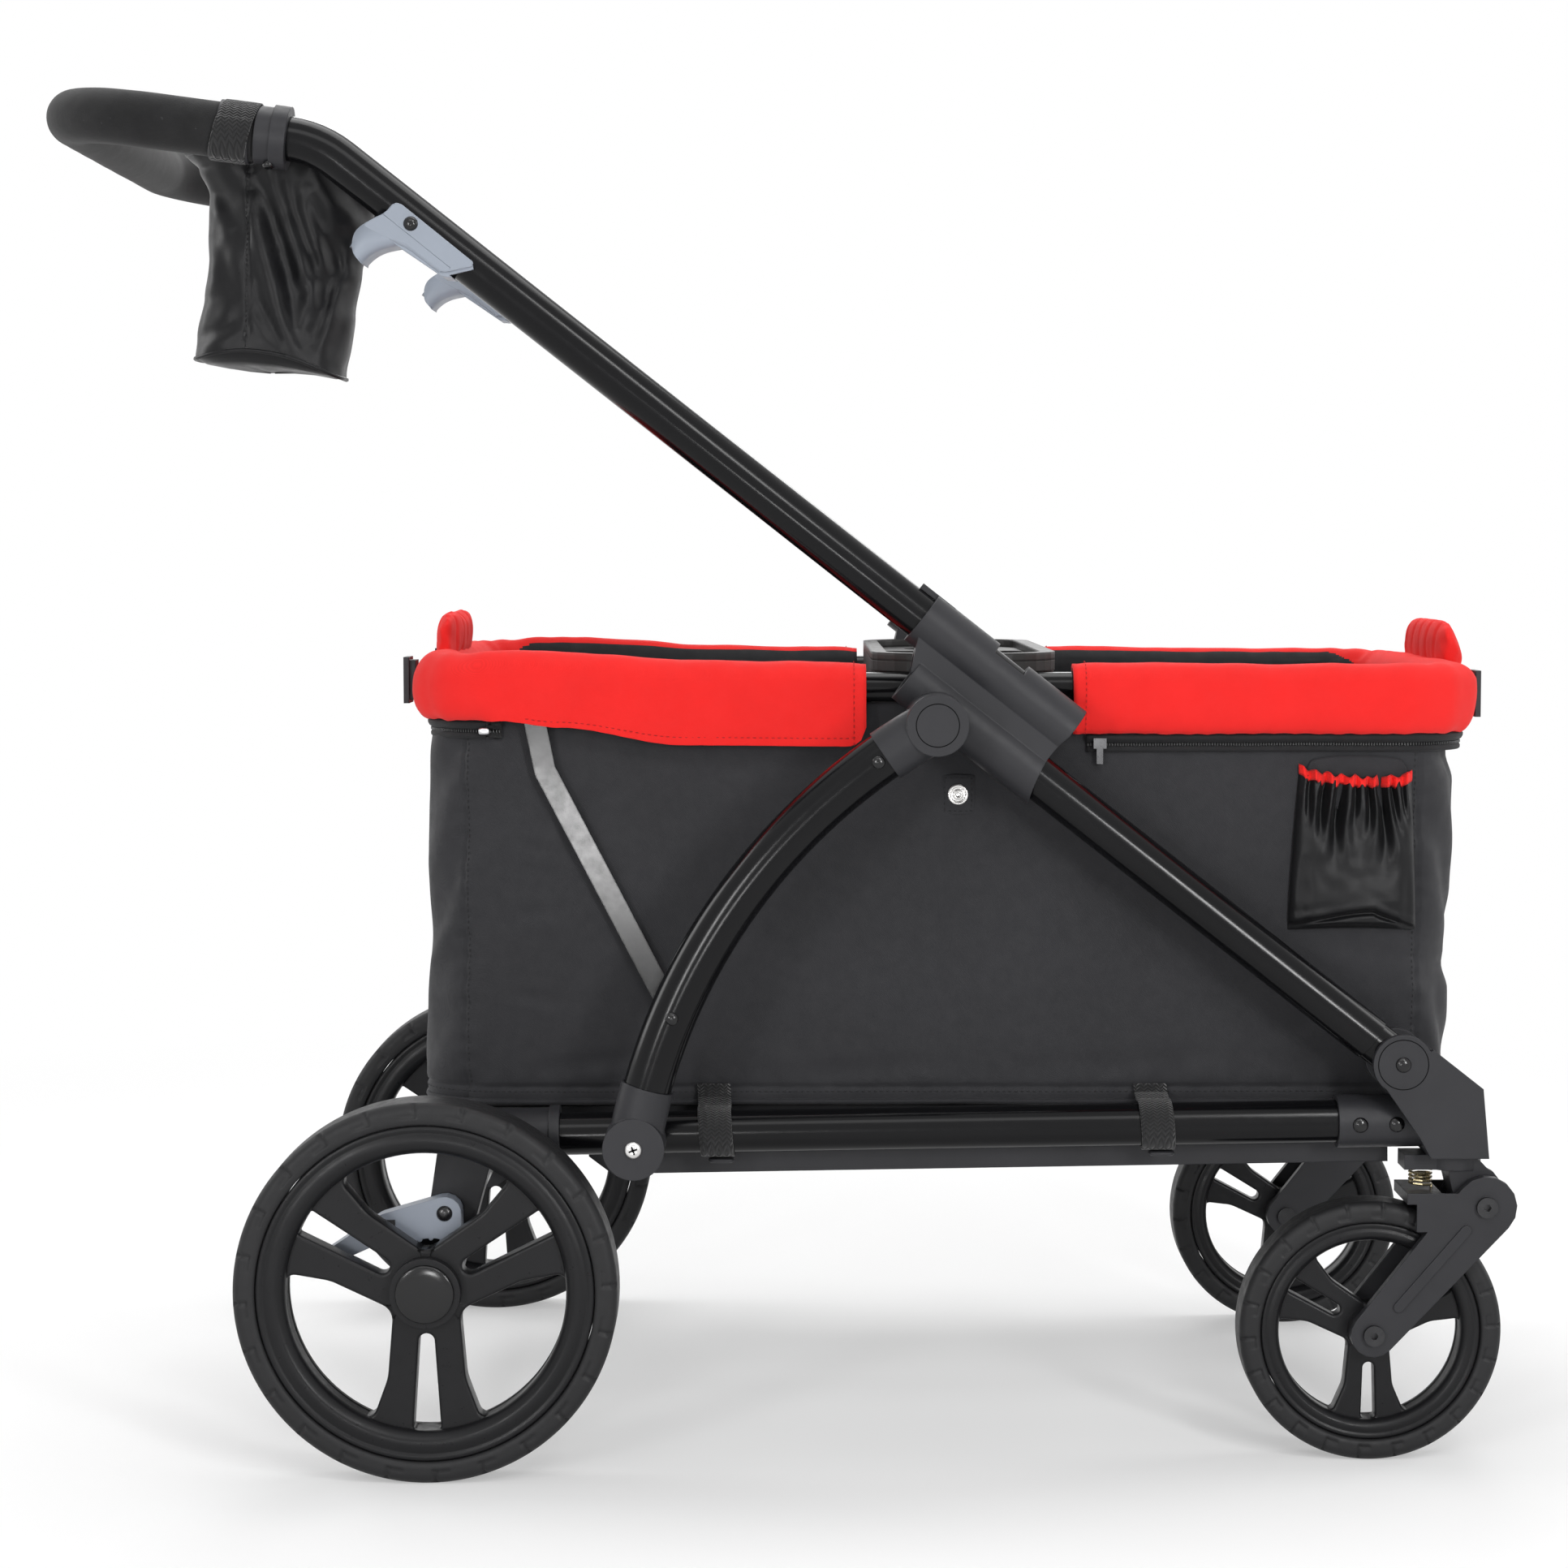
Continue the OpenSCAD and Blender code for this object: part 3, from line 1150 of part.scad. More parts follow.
in_place() lower_rail_left();
in_place() lower_rail_right();
in_place() rear_housing_left();
in_place() rear_housing_right();
in_place() front_bracket_left();
in_place() front_bracket_right();
in_place() cross_tubes();
in_place() rear_axle();
in_place() floor_runners();
in_place() floor_board();
in_place() side_wall_left();
in_place() side_wall_right();
in_place() end_wall_front();
in_place() end_wall_rear();
in_place() side_pocket();
in_place() floor_straps();
in_place() chassis_pins();
in_place() leg_tube_left();
in_place() leg_tube_right();
in_place() leg_caps();
in_place() leg_rivets();
in_place() brace_tube_left();
in_place() brace_tube_right();
in_place() slide_hub_left();
in_place() slide_hub_right();
in_place() handle_tube();
in_place() handle_grip();
in_place() grip_fittings();
in_place() cup_pouch();
in_place() release_lever_left();
in_place() release_lever_right();
in_place() rim_rail();
in_place() bolster_rear();
in_place() bolster_front();
in_place() head_pad_rear();
in_place() head_pad_front();
in_place() accessory_brackets();
in_place() tray_body();
in_place() tray_rim();
in_place() zip_bands();
in_place() zip_slider();
in_place() struts();
in_place() caster_head_left();
in_place() caster_head_right();
in_place() caster_spring_left();
in_place() caster_spring_right();
in_place() trailing_fork_left();
in_place() trailing_fork_right();
in_place() fork_bolts_left();
in_place() fork_bolts_right();
in_place() front_rim_left();
in_place() front_rim_right();
in_place() front_tyre_left();
in_place() front_tyre_right();
in_place() rear_rim_left();
in_place() rear_rim_right();
in_place() rear_tyre_left();
in_place() rear_tyre_right();
in_place() brake_pedal_left();
in_place() brake_pedal_right();
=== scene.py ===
import json
import math
import bmesh
import bpy
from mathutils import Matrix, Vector, noise

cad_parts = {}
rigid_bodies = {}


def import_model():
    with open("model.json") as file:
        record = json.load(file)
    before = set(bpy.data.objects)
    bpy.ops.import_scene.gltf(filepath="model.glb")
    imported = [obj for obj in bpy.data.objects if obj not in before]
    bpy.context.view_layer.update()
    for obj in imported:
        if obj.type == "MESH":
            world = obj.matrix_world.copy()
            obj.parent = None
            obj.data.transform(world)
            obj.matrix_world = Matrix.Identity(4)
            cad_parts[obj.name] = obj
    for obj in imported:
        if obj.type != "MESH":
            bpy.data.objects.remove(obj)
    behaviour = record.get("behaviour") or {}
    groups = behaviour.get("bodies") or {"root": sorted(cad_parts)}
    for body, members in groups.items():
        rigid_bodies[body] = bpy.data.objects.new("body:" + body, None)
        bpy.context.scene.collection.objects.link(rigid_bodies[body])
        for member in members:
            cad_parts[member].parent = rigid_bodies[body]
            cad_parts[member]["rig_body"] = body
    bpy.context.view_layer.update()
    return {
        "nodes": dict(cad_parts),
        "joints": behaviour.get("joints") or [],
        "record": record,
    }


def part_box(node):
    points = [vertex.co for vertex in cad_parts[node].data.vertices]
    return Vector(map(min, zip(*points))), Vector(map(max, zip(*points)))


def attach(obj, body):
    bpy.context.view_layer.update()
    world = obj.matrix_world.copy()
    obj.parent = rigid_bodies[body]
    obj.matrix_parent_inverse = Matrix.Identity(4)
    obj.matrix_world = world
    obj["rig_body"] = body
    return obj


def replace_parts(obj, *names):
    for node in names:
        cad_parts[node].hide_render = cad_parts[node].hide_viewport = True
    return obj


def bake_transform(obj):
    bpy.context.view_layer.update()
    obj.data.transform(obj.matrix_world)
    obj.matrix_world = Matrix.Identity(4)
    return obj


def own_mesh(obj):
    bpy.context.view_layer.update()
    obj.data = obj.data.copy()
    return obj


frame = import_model()
scene = bpy.context.scene
NODES = frame["nodes"]

# Places are in millimetres, with X measured from the rear axle, as in the part's source.
MM = 0.001
AXLE = sum(c.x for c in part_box("rear_tyre_left")) / 2
SIDES = (("left", 1), ("right", -1))


def at(x, y, z):
    return Vector((AXLE + x * MM, y * MM, z * MM))


def lerp(a, b, t):
    return a + (b - a) * t


def clamp(t):
    return min(max(t, 0.0), 1.0)


def bell(away, wide):
    """1 at the middle, falling off on both sides."""
    return math.exp(-((away / wide) ** 2))


def ease(t):
    t = clamp(t)
    return t * t * (3 - 2 * t)


def table(pairs, t, shape=float):
    """The value at t between the pairs of a table, along straight lines or shaped ones."""
    if t <= pairs[0][0]:
        return pairs[0][1]
    for (t0, v0), (t1, v1) in zip(pairs, pairs[1:]):
        if t <= t1:
            return lerp(v0, v1, shape((t - t0) / (t1 - t0)))
    return pairs[-1][1]


def soft_table(pairs, t):
    """Like table, with the corners eased."""
    return table(pairs, t, ease)


def turns(n):
    """Even angles round a full turn."""
    return [2 * math.pi * i / n for i in range(n)]


def squarish(v, power):
    """A sine or cosine to a power, with its sign kept."""
    return math.copysign(abs(v) ** power, v)


def outward(x, y, a, n, z):
    """The point at height z that lies n outside a place on the rim's plan, whose normal has heading a."""
    return x + n * math.cos(a), y + n * math.sin(a), z


def rough_at(x, y, z, size, seed=0.0):
    """Smooth noise from -1 to 1, with features of about that size in millimetres."""
    return noise.noise(Vector((x / size + seed, y / size + 0.37 * seed, z / size - 0.71 * seed)))


# Materials


class Nodes:
    """Short names for building a node tree."""

    def __init__(self, tree):
        self.tree = tree

    def add(self, kind, **props):
        n = self.tree.nodes.new(kind)
        for key, value in props.items():
            setattr(n, key, value)
        return n

    def link(self, a, b):
        self.tree.links.new(a, b)

    def math(self, how, a, b=None):
        n = self.add("ShaderNodeMath", operation=how)
        for k, v in enumerate((a, b)):
            if isinstance(v, (int, float)):
                n.inputs[k].default_value = v
            elif v is not None:
                self.link(v, n.inputs[k])
        return n.outputs["Value"]

    def seen(self):
        """1 for the rays that show a thing: straight to the camera, mirrored or through glass."""
        rays = self.add("ShaderNodeLightPath").outputs
        return self.math("MAXIMUM", self.math("MAXIMUM", rays["Is Camera Ray"], rays["Is Glossy Ray"]),
                         rays["Is Transmission Ray"])

    def blend(self, share, a, b):
        """Mixes two shaders."""
        n = self.add("ShaderNodeMixShader")
        for source, slot in zip((share, a, b), n.inputs):
            self.link(source, slot)
        return n.outputs[0]


class Paint(Nodes):
    """A principled material and its usual nodes."""

    def __init__(self, name, **settings):
        self.mat = bpy.data.materials.new(name)
        self.mat.use_nodes = True
        super().__init__(self.mat.node_tree)
        self.shader = self.tree.nodes["Principled BSDF"]
        for key, value in settings.items():
            self.shader.inputs[key.replace("_", " ")].default_value = value
        self.place = self.add("ShaderNodeTexCoord").outputs["Object"]
        self.normal = None

    def axes(self):
        part = self.add("ShaderNodeSeparateXYZ")
        self.link(self.place, part.inputs["Vector"])
        return [part.outputs[k] for k in "XYZ"]

    def noise(self, scale, detail=4.0, rough=0.5, stretch=None):
        n = self.add("ShaderNodeTexNoise")
        for key, value in (("Scale", scale), ("Detail", detail), ("Roughness", rough)):
            n.inputs[key].default_value = value
        source = self.place
        if stretch:
            m = self.add("ShaderNodeMapping")
            m.inputs["Scale"].default_value = stretch
            self.link(self.place, m.inputs["Vector"])
            source = m.outputs["Vector"]
        self.link(source, n.inputs["Vector"])
        return n.outputs["Fac"]

    def span(self, source, a0, a1, b0, b1):
        n = self.add("ShaderNodeMapRange")
        for key, value in zip(("From Min", "From Max", "To Min", "To Max"), (a0, a1, b0, b1)):
            n.inputs[key].default_value = value
        self.link(source, n.inputs["Value"])
        return n.outputs["Result"]

    def mix(self, share, a, b):
        n = self.add("ShaderNodeMix", data_type="RGBA")
        self.link(share, n.inputs[0])
        for slot, v in ((n.inputs[6], a), (n.inputs[7], b)):
            if isinstance(v, tuple):
                slot.default_value = (*v, 1.0)
            else:
                self.link(v, slot)
        return n.outputs[2]

    def cloudy(self, colour, low, high, scale, detail=5.0):
        """Soft clouds between two tones of a colour."""
        return self.mix(self.span(self.noise(scale, detail, 0.6), 0.3, 0.7, 0.0, 1.0), tone(colour, low),
                        tone(colour, high))

    def patchy(self, scale, detail, low, high):
        """A roughness that drifts between two values."""
        return self.span(self.noise(scale, detail, 0.6), 0.25, 0.75, low, high)

    def bump(self, height, strength, distance):
        n = self.add("ShaderNodeBump")
        n.inputs["Strength"].default_value = strength
        n.inputs["Distance"].default_value = distance
        self.link(height, n.inputs["Height"])
        if self.normal is not None:
            self.link(self.normal, n.inputs["Normal"])
        self.normal = n.outputs["Normal"]

    def done(self, colour, roughness):
        for source, key in ((colour, "Base Color"), (roughness, "Roughness"), (self.normal, "Normal")):
            if source is not None:
                self.link(source, self.shader.inputs[key])
        return self.mat


def tone(c, k):
    return tuple(clamp(v * k) for v in c)


def moulded(name, colour, rough, span=0.08, vary=0.18, grain=1800.0, depth=0.12, specular=0.5, rounding=0.0009,
            edge_wear_and_highlight=0.35, dots=()):
    """Plastic or paint: cloudy tone, fine grain, softened edges lightened partly as wear and partly as a painted edge
    highlight. Dots are x, z, radius, colour.
    """
    p = Paint(name, Specular_IOR_Level=specular)
    colour_now = p.cloudy(colour, 1 - vary, 1 + vary, 9.0)
    edge = p.add("ShaderNodeBevel", samples=4)
    edge.inputs["Radius"].default_value = rounding
    p.normal = edge.outputs["Normal"]
    # Edges are lightened: partly as wear, partly as a painted highlight along them.
    if edge_wear_and_highlight:
        dot = p.add("ShaderNodeVectorMath", operation="DOT_PRODUCT")
        p.link(edge.outputs["Normal"], dot.inputs[0])
        p.link(p.add("ShaderNodeNewGeometry").outputs["Normal"], dot.inputs[1])
        worn_and_lit_edge = p.math("MULTIPLY", p.span(dot.outputs["Value"], 0.9, 0.99, edge_wear_and_highlight, 0.0), p.noise(60.0, 3.0, 0.6))
        colour_now = p.mix(worn_and_lit_edge, colour_now, tone(colour, 2.6))
    roughness = p.patchy(140.0, 4.0, rough - span, rough + span)
    for x, z, r, dot_colour in dots:
        here_x, _, here_z = p.axes()
        dx, dz = p.math("SUBTRACT", here_x, x), p.math("SUBTRACT", here_z, z)
        far = p.math("SQRT", p.math("ADD", p.math("MULTIPLY", dx, dx), p.math("MULTIPLY", dz, dz)))
        inside = p.math("LESS_THAN", far, r)
        colour_now = p.mix(inside, colour_now, dot_colour)
        roughness = p.math("SUBTRACT", roughness, p.math("MULTIPLY", inside, max(rough - 0.2, 0.0)))
    p.bump(p.noise(grain, 2.0, 0.5), depth, 0.0004)
    return p.done(colour_now, roughness)


def woven(name, colour, rough, pitch=0.0009, depth=0.35, vary=0.2, sheen=0.25, specular=0.3, slub=0.12):
    """Cloth: crossing threads, slubs along them, soft clouds of tone."""
    p = Paint(name, Specular_IOR_Level=specular, Sheen_Weight=sheen, Sheen_Roughness=0.45)
    x, y, z = p.axes()
    k = 2 * math.pi / pitch
    along = p.math("SINE", p.math("MULTIPLY", p.math("ADD", x, y), k))
    slant = p.math("MULTIPLY", p.math("SUBTRACT", x, y), 0.5)
    across = p.math("SINE", p.math("MULTIPLY", p.math("ADD", z, slant), k))
    threads = p.math("MULTIPLY", along, across)
    slubs = p.noise(420.0, 3.0, 0.6, stretch=(1.0, 1.0, 5.0))
    colour_now = p.cloudy(colour, 1 - vary, 1 + vary, 11.0)
    colour_now = p.mix(p.span(slubs, 0.35, 0.75, 0.0, slub * 2), colour_now, tone(colour, 1.9))
    colour_now = p.mix(p.span(threads, -1.0, 1.0, 0.22, 0.0), colour_now, tone(colour, 0.45))
    p.bump(p.noise(55.0, 4.0, 0.55), 0.12, 0.0015)
    p.bump(threads, depth, 0.0003)
    return p.done(colour_now, p.patchy(90.0, 4.0, rough - 0.09, rough + 0.09))


def webbing(name, colour, pitch=0.0034):
    """Strap webbing: a herringbone of fine ribs."""
    p = Paint(name, Specular_IOR_Level=0.25, Sheen_Weight=0.2)
    x, y, z = p.axes()
    zigzag = p.math("PINGPONG", x, 0.003)
    ribs = p.math("SINE", p.math("MULTIPLY", p.math("ADD", p.math("ADD", z, y), zigzag), 2 * math.pi / pitch))
    colour_now = p.mix(p.span(ribs, -1.0, 1.0, 0.0, 1.0), tone(colour, 0.55), tone(colour, 1.35))
    p.bump(ribs, 0.7, 0.0006)
    return p.done(colour_now, p.patchy(120.0, 3.0, 0.66, 0.84))


def foam(name, colour):
    """Closed cell foam with fine pits and a little lint."""
    p = Paint(name, Specular_IOR_Level=0.22, Sheen_Weight=0.12)
    cells = p.add("ShaderNodeTexVoronoi")
    cells.inputs["Scale"].default_value = 1100.0
    p.link(p.place, cells.inputs["Vector"])
    lint = p.math("GREATER_THAN", p.noise(320.0, 2.0, 0.5), 0.735)
    colour_now = p.mix(p.math("MULTIPLY", lint, 0.5), p.cloudy(colour, 0.75, 1.3, 16.0), tone(colour, 5.0))
    p.bump(p.noise(30.0, 3.0, 0.5), 0.1, 0.002)
    p.bump(cells.outputs["Distance"], 0.35, 0.0005)
    return p.done(colour_now, p.patchy(80.0, 3.0, 0.78, 0.95))


def turned(name, colour, rough):
    """Plated steel with fine turning marks."""
    p = Paint(name, Metallic=1.0)
    marks = p.noise(700.0, 3.0, 0.6, stretch=(1.0, 8.0, 1.0))
    p.bump(marks, 0.12, 0.0003)
    return p.done(p.cloudy(colour, 0.75, 1.15, 40.0, 4.0), p.span(marks, 0.25, 0.75, rough - 0.08, rough + 0.12))


STEEL = moulded("satin_black_steel", (0.0032, 0.0032, 0.0038), 0.17, span=0.03, vary=0.15, grain=900.0, depth=0.012,
                specular=0.2, rounding=0.0006, edge_wear_and_highlight=0.1)
GLOSS = moulded("gloss_black_steel", (0.004, 0.004, 0.0045), 0.15, span=0.03, vary=0.12, grain=500.0, depth=0.015,
                specular=0.42, rounding=0.0012, edge_wear_and_highlight=0.1)
CHARCOAL = moulded("charcoal_plastic", (0.023, 0.023, 0.0258), 0.44, depth=0.14, specular=0.24, rounding=0.0014)
WHEEL = moulded("wheel_plastic", (0.0088, 0.0088, 0.0097), 0.33, depth=0.1, specular=0.2, rounding=0.0012)
RUBBER = moulded("tyre_rubber", (0.0165, 0.0165, 0.0175), 0.5, span=0.1, grain=1300.0, depth=0.22, specular=0.22,
                 rounding=0.0006, edge_wear_and_highlight=0.15)
ZINC = turned("zinc_steel", (0.62, 0.62, 0.63), 0.3)
BRIGHT = turned("bright_steel", (0.72, 0.71, 0.7), 0.24)
GUNMETAL = turned("gunmetal", (0.16, 0.16, 0.165), 0.3)
DARK_BOLT = turned("blackened_bolt", (0.05, 0.05, 0.052), 0.32)
SPRING = turned("spring_steel", (0.66, 0.56, 0.34), 0.26)
FOAM = foam("grip_foam", (0.0115, 0.0115, 0.012))
FABRIC = woven("dark_fabric", (0.021, 0.021, 0.0235), 0.62, vary=0.12, sheen=0.06, specular=0.2)
LINING = woven("dark_lining", (0.009, 0.009, 0.0102), 0.7, pitch=0.0007, vary=0.15, sheen=0.08, specular=0.2)
NYLON = woven("dark_nylon", (0.0062, 0.0062, 0.007), 0.36, pitch=0.0006, depth=0.12, vary=0.15, sheen=0.02,
              specular=0.2)
RED = woven("red_fabric", (0.8, 0.021, 0.019), 0.8, vary=0.06, sheen=0.06, specular=0.14, slub=0.04)
RED_BAND = woven("red_elastic", (0.86, 0.018, 0.015), 0.66, pitch=0.0016, depth=0.6, vary=0.08, sheen=0.06,
                 specular=0.2)
WEBBING = webbing("dark_webbing", (0.0115, 0.0115, 0.0122))
TAPE = woven("zip_tape", (0.011, 0.011, 0.012), 0.7, pitch=0.0012, vary=0.12, sheen=0.06, specular=0.2)
TEETH = moulded("zip_teeth", (0.012, 0.012, 0.0125), 0.3, edge_wear_and_highlight=0.0, rounding=0.0002)
THREAD = moulded("dark_thread", (0.006, 0.006, 0.0065), 0.8, edge_wear_and_highlight=0.0, rounding=0.0002)
RED_THREAD = moulded("red_thread", (0.36, 0.006, 0.006), 0.8, edge_wear_and_highlight=0.0, rounding=0.0002)
TRAY = moulded("tray_plastic", (0.016, 0.0155, 0.015), 0.5, specular=0.3)
TRAY_RIM = moulded("tray_rim_plastic", (0.015, 0.0142, 0.0135), 0.4, vary=0.06, specular=0.3, rounding=0.003,
                   edge_wear_and_highlight=0.1)
SHADOW = moulded("groove_shadow", (0.004, 0.004, 0.0045), 0.8, specular=0.1, edge_wear_and_highlight=0.0, rounding=0.0002)


def joint_named(name):
    return [j for j in frame["joints"] if j["name"] == name][0]


def pin_dot(joint, radius):
    """A black dot over a joint's pin, for a material."""
    x, _, z = joint_named(joint)["pos_m"]
    return x, z, radius, BLACK


BLACK, LEVER_GREY = (0.01, 0.01, 0.011), (0.245, 0.275, 0.325)
GREY_FINISH = {"depth": 0.06, "rounding": 0.0012, "edge_wear_and_highlight": 0.0}
LEVER = moulded("lever_plastic", LEVER_GREY, 0.44, vary=0.04, dots=(pin_dot("lever_squeeze_right", 0.0071),),
                **GREY_FINISH)
LEVER_PLAIN = moulded("lever_cover_plastic", LEVER_GREY, 0.44, vary=0.04, **GREY_FINISH)
PEDAL = moulded("pedal_plastic", (0.27, 0.3, 0.355), 0.44, vary=0.05, dots=(pin_dot("brake_press_right", 0.0061),),
                **GREY_FINISH)

FINISHES = {
    "satin_black_steel": STEEL, "charcoal_plastic": CHARCOAL, "zinc_steel": ZINC, "spring_steel": SPRING,
    "dark_fabric": FABRIC, "red_fabric": RED, "grip_foam": FOAM, "tray_plastic": TRAY,
    "tray_rim_plastic": TRAY_RIM, "lever_plastic": LEVER, "pedal_plastic": PEDAL, "tyre_rubber": RUBBER,
}
SPECIAL = {
    "struts": GLOSS, "leg_rivets": GLOSS, "chassis_pins": GLOSS, "floor_board": LINING,
    "zip_slider": GUNMETAL, "rear_axle": ZINC,
}
for tag, sgn in SIDES:
    SPECIAL.update({"front_rim_" + tag: WHEEL, "rear_rim_" + tag: WHEEL, "fork_bolts_" + tag: DARK_BOLT})
for part in frame["record"]["subparts"]:
    ob = NODES[part["node"]]
    finish = SPECIAL.get(part["node"], FINISHES[part["material_slot"]])
    if not ob.material_slots:
        ob.data.materials.append(None)
    for s in ob.material_slots:
        s.link = "OBJECT"
        s.material = finish


# Mesh helpers


def piece(name, verts, faces, mats, body, picks=None, smooth=True):
    """A new object from millimetre places, riding on a body."""
    mesh = bpy.data.meshes.new(name)
    mesh.from_pydata([at(*v) for v in verts], [], faces)
    for m in mats:
        mesh.materials.append(m)
    if picks:
        mesh.polygons.foreach_set("material_index", picks)
    mesh.polygons.foreach_set("use_smooth", [smooth] * len(mesh.polygons))
    mesh.validate()
    bm = bmesh.new()
    bm.from_mesh(mesh)
    bmesh.ops.recalc_face_normals(bm, faces=bm.faces)
    bm.to_mesh(mesh)
    bm.free()
    ob = bpy.data.objects.new(name, mesh)
    scene.collection.objects.link(ob)
    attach(ob, body)
    return ob


def strips(rings, ring_closed=True, run_closed=False, caps=False):
    """Vertices and quads through rings of equal count."""
    n, m = len(rings[0]), len(rings)
    verts = [p for r in rings for p in r]
    faces = []
    for j in range(m if run_closed else m - 1):
        a, b = j * n, ((j + 1) % m) * n
        for i in range(n if ring_closed else n - 1):
            k = (i + 1) % n
            faces.append((a + i, a + k, b + k, b + i))
    if caps:
        faces.append(tuple(range(n - 1, -1, -1)))
        faces.append(tuple((m - 1) * n + i for i in range(n)))
    return verts, faces


def skin(name, rings, mat, body, ring_closed=True, run_closed=False, caps=False):
    """A piece of one material through rings of equal count."""
    v, f = strips(rings, ring_closed, run_closed, caps)
    return piece(name, v, f, [mat], body)


def frames_along(path, closed=False):
    """Tangent and two normals at each point of a path, turned as little as possible."""
    pts = [Vector(p) for p in path]
    n = len(pts)
    tangents = []
    for i in range(n):
        a = pts[(i - 1) % n] if closed or i > 0 else pts[i]
        b = pts[(i + 1) % n] if closed or i < n - 1 else pts[i]
        tangents.append((b - a).normalized())
    start = Vector((0, 0, 1)) if abs(tangents[0].z) < 0.9 else Vector((1, 0, 0))
    u = (start - tangents[0] * start.dot(tangents[0])).normalized()
    out = []
    for t in tangents:
        u = (u - t * u.dot(t)).normalized()
        out.append((t, u, t.cross(u)))
    return out


def tube(name, path, radius, mat, body, sides=8, closed=False, flatten=1.0):
    """A round cord along a path."""
    rings = []
    for p, (t, u, w) in zip(path, frames_along(path, closed)):
        rings.append([tuple(Vector(p) + radius * (math.cos(a) * u + flatten * math.sin(a) * w)) for a in turns(sides)])
    return skin(name, rings, mat, body, True, closed, not closed)


def lathe(name, profile, centre, axis, mat, body, steps=40):
    """A turned form: the profile gives (radius, along), the axis points outwards."""
    axis = Vector(axis).normalized()
    side = Vector((1, 0, 0)) if abs(axis.x) < 0.9 else Vector((0, 0, 1))
    u = (side - axis * side.dot(axis)).normalized()
    w = axis.cross(u)
    rings = []
    for a in turns(steps):
        d = math.cos(a) * u + math.sin(a) * w
        rings.append([tuple(Vector(centre) + d * r + axis * h) for r, h in profile])
    return skin(name, rings, mat, body, False, True)


def stitches(name, line, normals, mat, body, long=3.0, space=1.9, thick=0.42, lift=0.25):
    """Short threads laid along a line on a surface."""
    verts, faces = [], []
    pts = [Vector(p) for p in line]
    outs = [Vector(q) for q in normals]
    walked, need = 0.0, 0.0
    for a, b, na, nb in zip(pts, pts[1:], outs, outs[1:]):
        seg = (b - a).length
        if seg < 1e-6:
            continue
        while need <= walked + seg:
            s = (need - walked) / seg
            mid, out = a.lerp(b, s), na.lerp(nb, s).normalized()
            t = (b - a).normalized()
            w = t.cross(out).normalized()
            base = len(verts)
            for along, wide in ((-0.5, 0.3), (-0.25, 1.0), (0.25, 1.0), (0.5, 0.3)):
                c = mid + t * long * along + out * (lift if wide == 1.0 else -lift)
                for da, db in ((1, 0), (0, 1), (-1, 0), (0, -1)):
                    verts.append(tuple(c + (w * da + out * db) * thick * wide))
            for r in range(3):
                for q in range(4):
                    p0, p1 = base + r * 4 + q, base + r * 4 + (q + 1) % 4
                    faces.append((p0, p1, p1 + 4, p0 + 4))
            faces.append((base + 3, base + 2, base + 1, base))
            faces.append((base + 12, base + 13, base + 14, base + 15))
            need += long + space
        walked += seg
    return piece(name, verts, faces, [mat], body)


def smooth_line(points, steps):
    """A rounded line through points, with that many steps between neighbours."""
    pts = [Vector(p) for p in points]
    out = []
    for i in range(len(pts) - 1):
        p0, p1, p2, p3 = pts[max(i - 1, 0)], pts[i], pts[i + 1], pts[min(i + 2, len(pts) - 1)]
        for s in range(steps):
            t = s / steps
            out.append(0.5 * ((2 * p1) + (p2 - p0) * t + (2 * p0 - 5 * p1 + 4 * p2 - p3) * t * t
                              + (3 * p1 - p0 - 3 * p2 + p3) * t ** 3))
    out.append(pts[-1])
    return out


def add_modifier(ob, kind, **props):
    m = ob.modifiers.new(kind.lower(), kind)
    for key, value in props.items():
        setattr(m, key, value)
    return m


def apply_modifiers(ob):
    """Makes what the modifiers show the object's own mesh."""
    bpy.context.view_layer.update()
    graph = bpy.context.evaluated_depsgraph_get()
    mesh = bpy.data.meshes.new_from_object(ob.evaluated_get(graph))
    ob.modifiers.clear()
    ob.data = mesh


# The rim's plan: sides, rounded corners and ends

RIM_Z, RIM_Y, TURN = 600.5, 205.0, 55.0
REAR_X, FRONT_X = -3.0, 803.0
REAR_TURN_X, FRONT_TURN_X, TURN_Y = REAR_X + TURN, FRONT_X - TURN, RIM_Y - TURN
MIDDLE_X = (REAR_X + FRONT_X) / 2


class Round:
    """Places round one end of the rim, from an open end on the left side to the one on the right."""

    def __init__(self, open_x, end_x):
        self.open_x, self.end_x = open_x, end_x
        self.dir = -1 if end_x < open_x else 1
        self.turn_x = end_x - self.dir * TURN
        self.side = abs(self.turn_x - open_x)
        self.arc = math.pi / 2 * TURN
        self.flat = 2 * (RIM_Y - TURN)
        self.total = 2 * (self.side + self.arc) + self.flat

    def place(self, d):
        """x, y, heading of the outward normal, share of the way to the end's middle."""
        if d > self.total / 2 and d > self.total - self.side - self.arc:
            x, y, a, t = self.place(self.total - d)
            return x, -y, -a, t
        if d < self.side:
            return self.open_x + self.dir * d, RIM_Y, math.pi / 2, 0.5 * d / self.side
        if d < self.side + self.arc:
            turn = (d - self.side) / TURN
            a = math.pi / 2 - self.dir * turn
            return (self.turn_x + TURN * math.cos(a), RIM_Y - TURN + TURN * math.sin(a), a,
                    0.5 + 0.5 * turn / (math.pi / 2))
        y = RIM_Y - TURN - (d - self.side - self.arc)
        return self.end_x, y, 0.0 if self.dir > 0 else math.pi, 1.0

    def stations(self, step):
        n = int(self.total / step)
        return [self.total * i / n for i in range(n + 1)]


